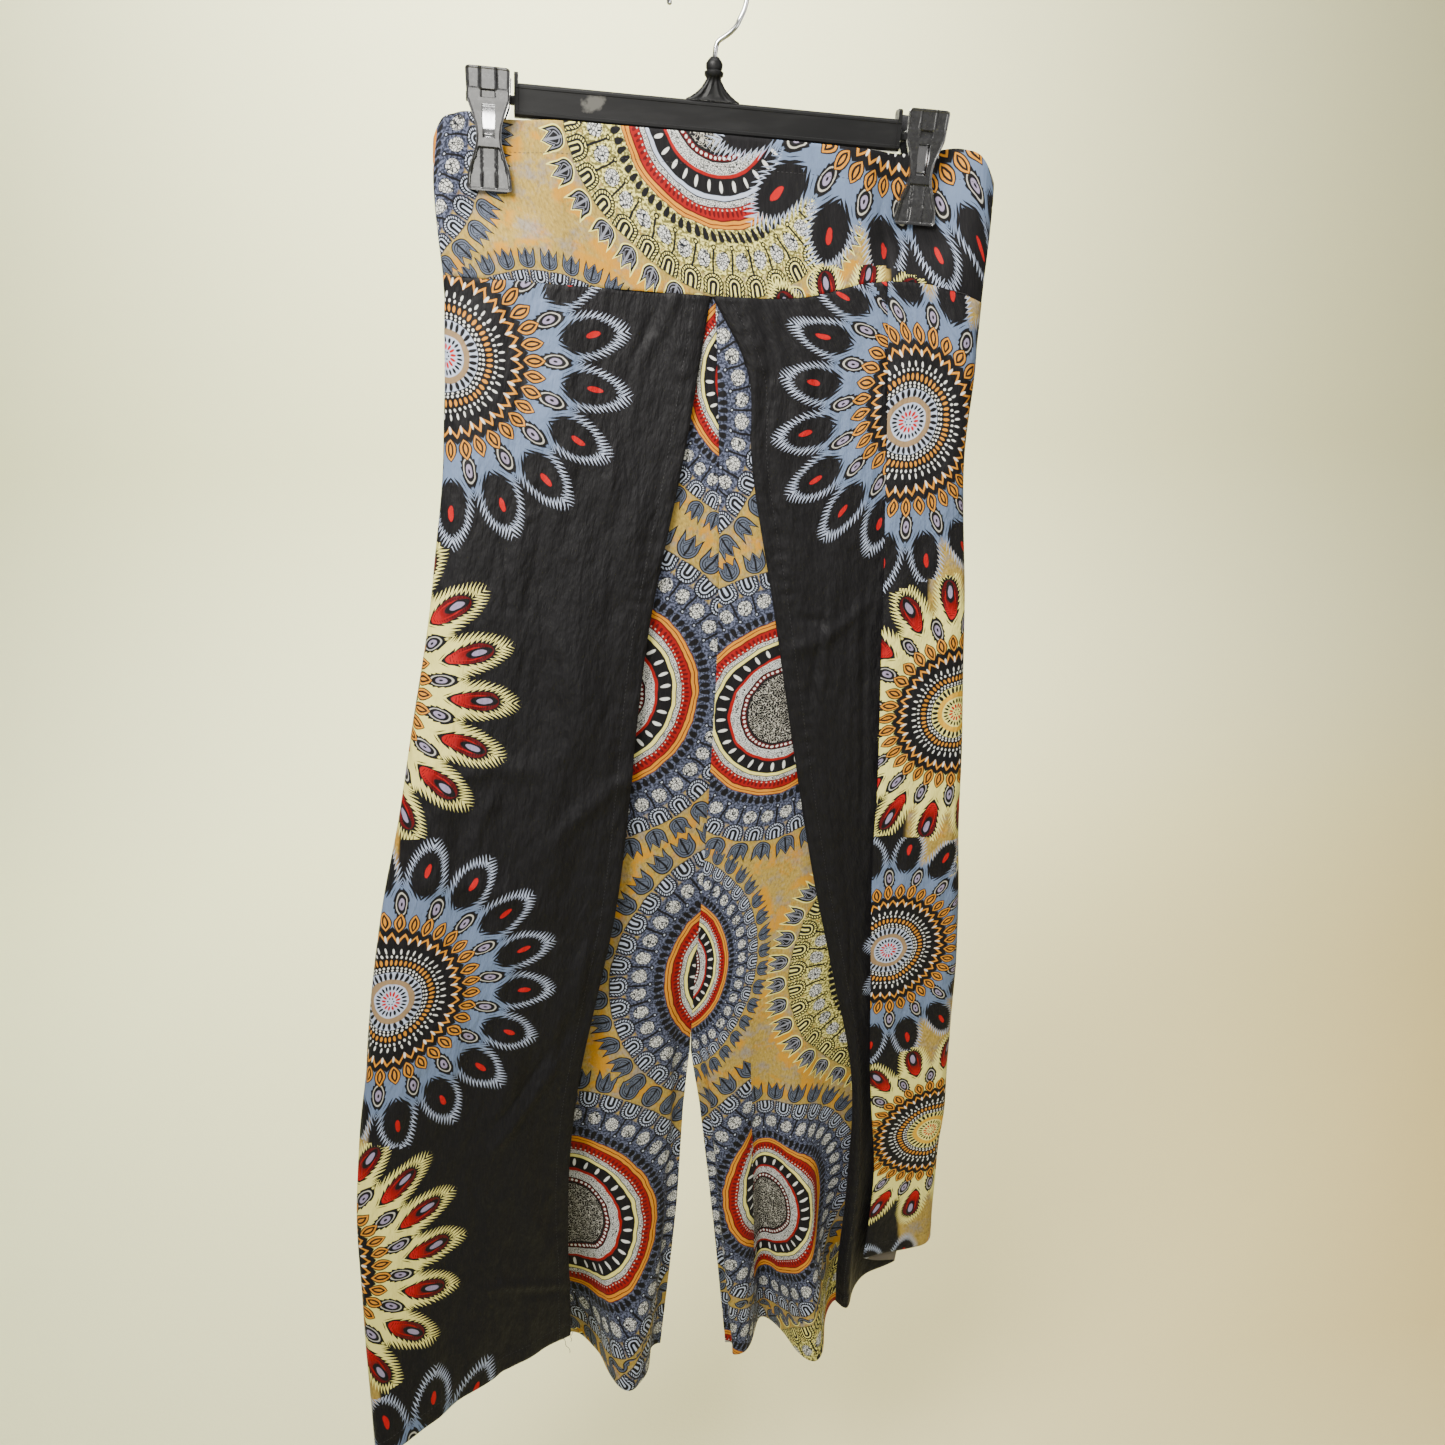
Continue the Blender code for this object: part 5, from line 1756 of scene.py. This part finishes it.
@dataclass(frozen=True)
class HangerPart:
    """A part of the hanger, which stands for one of the frame's nodes."""

    name: str
    node: str
    slot: Slot = Slot.PLASTIC
    smooth: float = 35.0
    bevel: float = 0.0
    tilted: bool = True

    def shape(self) -> tuple[Array, list]:
        """Places of the points in the hanger's frame, or in the world if not tilted."""
        raise NotImplementedError

    def build(self, finish: Material) -> None:
        """Put the part in its node's place.

        Args:
            finish: Its material.
        """
        points, faces = self.shape()
        places = on_hanger(points) if self.tilted else points
        piece = make_mesh(self.name, places, faces, [finish], self.smooth)
        work = bmesh.new()
        work.from_mesh(piece.data)
        bmesh.ops.recalc_face_normals(work, faces=work.faces)
        work.to_mesh(piece.data)
        work.free()
        if self.bevel:
            soft = piece.modifiers.new("soft_edges", "BEVEL")
            soft.width, soft.segments, soft.limit_method = self.bevel, 2, "ANGLE"
            soft.angle_limit = math.radians(35)
        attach(piece, "root")
        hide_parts(self.node)
        LOG.info("%s: %d faces", self.name, len(faces))


@dataclass(frozen=True)
class Bar(HangerPart):
    """The bar, with lips along its edges, an end flange and a peg at each end."""

    half_length: float = 0.1225
    flange: float = 0.0025
    flange_widening: float = 50 / 41
    flange_rise: float = 0.0060
    peg_radius: float = 0.0028
    clip_half_width: float = 0.0140

    def shape(self) -> tuple[Array, list]:
        """Rings of 20 points carried along the bar: pegs, flanges and bar."""
        front = from_mm((
            # y, z
            (-2.6, 9.5), (-4, 7.9), (-4, 6.8), (-3.7, 6.4), (-3.6, 2), (-3.6, -4),
            (-3.7, -6), (-4.1, -6.4), (-4, -7.9), (-2.6, -9.5),
        ))
        bar = np.concatenate([front, front[::-1] * (-1, 1)])
        turn = np.pi - np.arctan2(bar[:, 1], bar[:, 0])
        peg = self.peg_radius * np.stack([-np.cos(turn), np.sin(turn)], axis=1)
        raised = bar[:, 1] + self.flange_rise * (bar[:, 1] > 0.0078)
        flange = np.stack([bar[:, 0] * self.flange_widening, raised], axis=1)
        peg_end = CLIP_X + self.clip_half_width
        outer, inner = self.half_length + self.flange, self.half_length
        stations = ((-peg_end, peg), (-outer, peg), (-outer, flange), (-inner, flange),
                    (-inner, bar), (-0.04, bar), (0.0, bar), (0.04, bar), (inner, bar),
                    (inner, flange), (outer, flange), (outer, peg), (peg_end, peg))
        return loft(np.array([np.insert(ring, 0, x, axis=1) for x, ring in stations]))


@dataclass(frozen=True)
class Neck(HangerPart):
    """The ribbed boss on the bar and the knob that holds the hook."""

    base: float = 0.0098
    knob: float = 0.0228

    def shape(self) -> tuple[Array, list]:
        """Rings round the axis, squarish at the foot and round at the knob.

        A ring's point at angle t is (w sgn(cos t)|cos t|^p, d sgn(sin t)|sin t|^p),
        with grooves worn into its front and back between upright ribs.
        """
        boss = np.array((
            # height in mm, half width and half depth in mm, squareness, depth of the grooves
            (0, 17.2, 3.8, 0.45, 0), (0.6, 17.2, 3.8, 0.45, 0.5), (1.6, 15, 3.8, 0.5, 1),
            (4.2, 11.2, 3.8, 0.55, 1), (7.5, 7.8, 3.8, 0.6, 1), (10.4, 6, 3.8, 0.7, 1),
        ))
        knob = np.array((
            (-0.4, 4.6, 3.8, 0.8, 0.6), (0.6, 5, 4.8, 1, 0), (1.6, 6, 6, 1, 0),
            (3.6, 6.1, 6.1, 1, 0), (4.6, 4.8, 4.8, 1, 0), (5.6, 5.2, 5.2, 1, 0),
            (8.2, 5.4, 5.4, 1, 0), (10, 4.4, 4.4, 1, 0), (12, 2.7, 2.7, 1, 0),
        ))
        z = np.concatenate([self.base + boss[:, 0] / 1000, self.knob + knob[:, 0] / 1000])[:, None]
        rows = np.concatenate([boss, knob])
        wide, deep, power, groove = (rows[:, k][:, None] for k in range(1, 5))
        turn = np.linspace(0, 2 * math.pi, 64, endpoint=False)[None]
        cos, sin = np.cos(turn), np.sin(turn)
        side = np.sign(cos) * np.abs(cos) ** power
        worn = groove * np.clip(np.cos(side * math.pi * 4.0) + 0.35, 0, 1) * (np.abs(side) < 0.9)
        y = deep / 1000 * np.sign(sin) * np.abs(sin) ** power * (1 - 0.30 * worn)
        return loft(np.stack(np.broadcast_arrays(wide / 1000 * side, y, z), axis=-1))


@dataclass(frozen=True)
class Hook(HangerPart):
    """The wire hook: a shank that sways aside and bends into an arc of 234 degrees."""

    radius: float = 0.0250
    wire: float = 0.0016
    ends: tuple[float, float] = (-38, 196)
    sway: tuple[float, float] = (0.0030, -0.0012)
    foot: float = 0.0350
    shank: float = 0.0080

    def shape(self) -> tuple[Array, list]:
        """The wire, whose arc isn't tilted with the hanger."""
        foot, rise = on_hanger(np.array(((0, 0, self.foot - 0.004),
                                         (0, 0, self.foot + self.shank))))
        middle = np.array((0.0, 0.0, -(self.radius - self.wire)))
        turn = np.radians(np.linspace(*self.ends, 72))
        arc = middle + self.radius * np.stack([np.cos(turn), 0 * turn, np.sin(turn)], axis=1)
        s = np.linspace(0.02, 0.96, 14)[:, None]
        bulge = np.array((*self.sway, 0.0)) * 4 * s * (1 - s)
        path = np.concatenate([[foot, (foot + rise) / 2, rise],
                               rise + (arc[0] - rise) * s + bulge, arc])
        for _ in range(3):
            path[1:-1] = 0.25 * path[:-2] + 0.5 * path[1:-1] + 0.25 * path[2:]
        return tube(path, self.wire)


@dataclass(frozen=True)
class Lever(HangerPart):
    """A lever of a clip: finger paddle, slotted waist and flared jaw.

    Attributes:
        side: Which clip.
        face: -1 for the front lever, 1 for the back one.
        slot_reach: Lowest and highest z of the slot, and half its width.
        corner: Radius of the paddle's and the jaw's corners.
    """

    side: Side = Side.LEFT
    face: float = -1.0
    slot_reach: tuple[float, float, float] = (-0.0235, -0.0045, 0.0040)
    corner: float = 0.0022

    def outline(self) -> Array:
        """The lever's profile: z, half width, outer, inner and rib distance."""
        return from_mm((
            (-53, 14.3, 4.6, 2.5, 2.1), (-40, 12.4, 6.5, 2.5, 2.1),
            (-33, 9.8, 7.2, 2.5, 2.1), (-26, 7.9, 7.8, 5.4, 5),
            (-16, 8.3, 9, 6.6, 6.2), (-9, 10.6, 9.8, 7.6, 7.2),
            (-3, 12.7, 11, 8.6, 8.2), (-2.2, 12.8, 11.1, 8.7, 3.1),
            (2.2, 13, 11.8, 9.4, 3.1), (3, 13.1, 12, 9.6, 9.2),
            (13.5, 13.5, 13.9, 11.6, 11.2), (15, 12.2, 14, 12.4, 12),
        ))

    def shape(self) -> tuple[Array, list]:
        """The outer and the inner face on a grid of z and of x / half width."""
        rows = self.outline()
        z = np.linspace(rows[0, 0], rows[-1, 0], 141)
        s = np.linspace(-1, 1, 49)
        outer, inner, rib = (np.interp(z, rows[:, 0], rows[:, k])[:, None] for k in (2, 3, 4))
        # The side's curve leaves out the rows that only the ears and the corners need
        half = follow(rows[[0, 1, 2, 3, 4, 5, 6, 9, 10]], 1, z)
        for end, way in ((rows[-1, 0], 1), (rows[0, 0], -1)):
            near = np.clip((way * (z - end) + self.corner) / self.corner, 0, 1)
            half = half - self.corner * (1 - np.sqrt(1 - near ** 2 + 1e-9))
        x = s[None] * half[:, None]
        z = np.broadcast_to(z[:, None], x.shape)
        depth = outer + self.relief(x, z, half[:, None] - np.abs(x))
        # Ears reach in to the peg, and the rims of the inner face stand proud
        under = np.where(np.abs(s)[None] > 0.86, rib, inner)
        front = np.stack([x, self.face * depth, z], axis=-1)
        back = np.stack([x, self.face * under, z], axis=-1)
        low, high, wide = self.slot_reach
        row = np.flatnonzero((z[:, 0] > low) & (z[:, 0] < high))
        column = np.flatnonzero(np.abs(s) * half[row].mean() < wide)
        # The slot's sides run straight down
        for face in (front, back):
            spot = face[row[0]:row[-1] + 1, column[0]:column[-1] + 1]
            spot[..., 0] = np.linspace(-wide, wide, len(column))[None]
        points, faces = plate(front, back, (row[0], row[-1], column[0], column[-1]))
        return points + (self.side.value * CLIP_X, 0.0, 0.0), faces

    def relief(self, x: Array, z: Array, edge: Array) -> Array:
        """Height of the outer face's mouldings.

        Args:
            x: Distance from the lever's middle.
            z: Height above the bar's middle.
            edge: Distance from the lever's side.

        Returns:
            Height over the plain face.
        """
        x = np.abs(x)
        paddle = within(z, 0.0034, 0.0160)
        rim = np.maximum(1 - ease(edge / 0.0008 - 0.5), within(z, 0.0139, 0.0160))
        pivot = within(z, -0.0012, 0.0028) * within(x, -1.0, 0.0042)
        height = (0.0005 * rim + 0.0006 * bell(x - 0.0050, 0.00045) * paddle
                  - 0.0003 * paddle * within(x, 0.0054, 0.0120) - 0.0016 * pivot)
        frame = within(z, -0.0515, -0.0285, 0.0008) * ease((edge - 0.0017) / 0.0006)
        slope = np.clip((-0.0285 - z) / 0.020, 0, 1)
        return height + frame * (0.0007 * slope - 0.0016 + 0.0009 * bell(x - 0.0046, 0.0004)
                                 + 0.0003 * within(x, -1.0, 0.0038))


@dataclass(frozen=True)
class SpringStrip(HangerPart):
    """The clip's bent steel strip, which shows in the levers' slots."""

    side: Side = Side.LEFT
    half_width: float = 0.0039
    thick: float = 0.0006

    def shape(self) -> tuple[Array, list]:
        """A flat ring of four points carried along the strip's path."""
        half = from_mm((
            # y, z in front
            (-3.6, -26.2), (-4.6, -23.2), (-4.2, -22.2), (-4.8, -20.8), (-4.3, -19.6),
            (-5, -16), (-5.6, -12), (-5.8, -8), (-6, -2), (-5.6, 2),
            (-4.8, 4.2), (-3.4, 5.8), (-1.8, 6.6),
        ))
        path = np.concatenate([half, half[::-1] * (-1, 1)])
        ahead = unit(np.gradient(path, axis=0))
        out = np.stack([-ahead[:, 1], ahead[:, 0]], axis=1) * self.thick / 2
        x = np.array((-1, 1, 1, -1)) * self.half_width + self.side.value * CLIP_X
        ring = np.stack([path - out, path - out, path + out, path + out], axis=1)
        return loft(np.concatenate([np.broadcast_to(x[:, None], (*ring.shape[:2], 1)), ring],
                                   axis=-1))


class Hanger:
    """The trouser hanger: bar, neck, hook and two clips."""

    def __init__(self) -> None:
        """Set out the parts."""
        self.parts: list[HangerPart] = [
            Bar("bar_moulding", "hanger_bar", bevel=0.00025),
            Neck("neck_moulding", "hanger_neck", smooth=50.0),
        ]
        self.parts += [Lever(f"lever_{word}_{side.word}", f"clip_{word}_{side.word}",
                             side=side, face=face)
                       for side in Side for word, face in (("front", -1.0), ("back", 1.0))]
        self.parts.append(Hook("hook_wire", "hook", Slot.STEEL, 60.0, tilted=False))
        self.parts += [SpringStrip(f"strip_{side.word}", f"clip_spring_{side.word}", Slot.STEEL,
                                   side=side, bevel=0.00012) for side in Side]

    def build(self) -> None:
        """Make every part."""
        gloss = HardFinish("black_plastic", linear(34, 34, 36), linear(66, 66, 68), 0.24, 0.16,
                           grain=(420.0, 420.0, 420.0), coat=0.35).build()
        steel = HardFinish("bright_steel", linear(205, 205, 208), linear(150, 150, 154), 0.10,
                           0.14, metallic=1.0, grain=(900.0, 900.0, 200.0)).build()
        satin = HardFinish("satin_black_plastic", linear(16, 16, 17), linear(32, 32, 33),
                           0.44, 0.14, grain=(26.0, 160.0, 160.0), specular=0.18,
                           rub=(-0.0735, -0.004, -0.0870)).build()
        for part in self.parts:
            plastic = gloss if isinstance(part, Lever) else satin
            part.build(steel if part.slot is Slot.STEEL else plastic)


@dataclass(frozen=True)
class Studio:
    """Pale floor and wall, soft light, and the camera.

    Attributes:
        eye: Place of the camera, which turns right by yaw and down by pitch.
        focal: Distance of the picture plane, in widths of the picture.
        corner: Radius of the corner between the floor and the wall.
        spread: Angle over which a lamp shines, in degrees.
        haze: Colour of the light from all round.
    """

    eye: tuple[float, float, float] = (-0.108, -0.80, -0.2139)
    yaw: float = 8.0
    pitch: float = 20.0
    roll: float = -0.6
    focal: float = 1115 / 1445
    wall_y: float = 2.70
    floor_z: float = -1.50
    corner: float = 0.90
    reach: float = 5.0
    light: Colour = (1.0, 0.98, 0.92)
    spread: float = 105.0
    haze: Colour = (1.0, 0.98, 0.93)
    haze_strength: float = 0.26

    def build(self) -> None:
        """Make the stage, the lights and the camera."""
        self.build_stage()
        self.build_lights()
        self.build_camera()

    def build_stage(self) -> None:
        """Floor and wall in one sheet with a round corner between them."""
        turn = np.linspace(0, math.pi / 2, 17)
        bend_y = self.wall_y - self.corner + self.corner * np.sin(turn)
        bend_z = self.floor_z + self.corner - self.corner * np.cos(turn)
        y = np.concatenate([[-self.reach], bend_y, [self.wall_y]])
        z = np.concatenate([[self.floor_z], bend_z, [self.floor_z + self.reach]])
        x = np.array((-self.reach, self.reach))
        points = np.stack(np.broadcast_arrays(x[None, :], y[:, None], z[:, None]), axis=-1)
        finish = WallPaint().build()
        piece = make_mesh("stage", points, grid_quads(len(y), 2), [finish])
        LOG.info("stage: %d faces", len(piece.data.polygons))

    def build_lights(self) -> None:
        """A soft key light from the upper left, and weaker ones all round."""
        lamps = (
            # name, place, aim, size, power
            ("key_light", (-0.6, -0.85, 0.65), (0.0, 0.0, -0.10), 0.7, 24.0),
            ("front_light", (-0.30, -1.75, -0.32), (-0.14, 0.0, -0.12), 0.60, 4.0),
            ("fill_light", (1.7, -1.5, 0.2), (0.0, 0.0, -0.4), 1.2, 5.0),
            ("wall_light", (-0.3, 0.7, 2.3), (0.2, 2.7, -0.2), 1.6, 135.0),
            ("back_light", (0.5, 2.2, 0.2), (0.5, 0.0, 0.2), 1.6, 30.0),
            ("top_light", (0.2, -0.4, 1.5), (0.0, 0.1, -0.5), 1.0, 6.0),
        )
        for name, place, aim, size, power in lamps:
            light = bpy.data.lights.new(name, "AREA")
            light.shape, light.size, light.energy = "DISK", size, power
            light.color, light.spread = self.light, math.radians(self.spread)
            lamp = place_object(name, light)
            lamp.visible_camera = False
            lamp.matrix_world = Matrix.Translation(place) @ (
                Vector(aim) - Vector(place)).to_track_quat("-Z", "Y").to_matrix().to_4x4()
        world = bpy.data.worlds.new("soft_world")
        world.use_nodes = True
        background = world.node_tree.nodes["Background"]
        fill(world.node_tree, background.inputs["Color"], self.haze)
        fill(world.node_tree, background.inputs["Strength"], self.haze_strength)
        bpy.context.scene.world = world

    def build_camera(self) -> None:
        """The camera, from its place and its yaw, pitch and roll."""
        yaw, pitch, roll = (math.radians(a) for a in (self.yaw, self.pitch, self.roll))
        ahead = np.array((math.sin(yaw) * math.cos(pitch), math.cos(yaw) * math.cos(pitch),
                          -math.sin(pitch)))
        right = np.array((math.cos(yaw), -math.sin(yaw), 0.0))
        up = np.cross(right, ahead)
        right, up = (math.cos(roll) * right + math.sin(roll) * up,
                     -math.sin(roll) * right + math.cos(roll) * up)
        lens = bpy.data.cameras.new("camera")
        lens.sensor_width = 36
        lens.lens = lens.sensor_width * self.focal
        lens.clip_start = 0.01
        camera = place_object("camera", lens)
        axes = np.eye(4)
        axes[:3] = np.stack([right, up, -ahead, np.array(self.eye)], axis=1)
        camera.matrix_world = Matrix(axes.tolist())
        bpy.context.scene.camera = camera


def main() -> None:
    """Build the garment, the hanger and the studio round the frame."""
    logging.basicConfig(level=logging.INFO, format="%(message)s")
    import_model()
    Garment().build()
    Hanger().build()
    Studio().build()


if __name__ == "__main__":
    main()
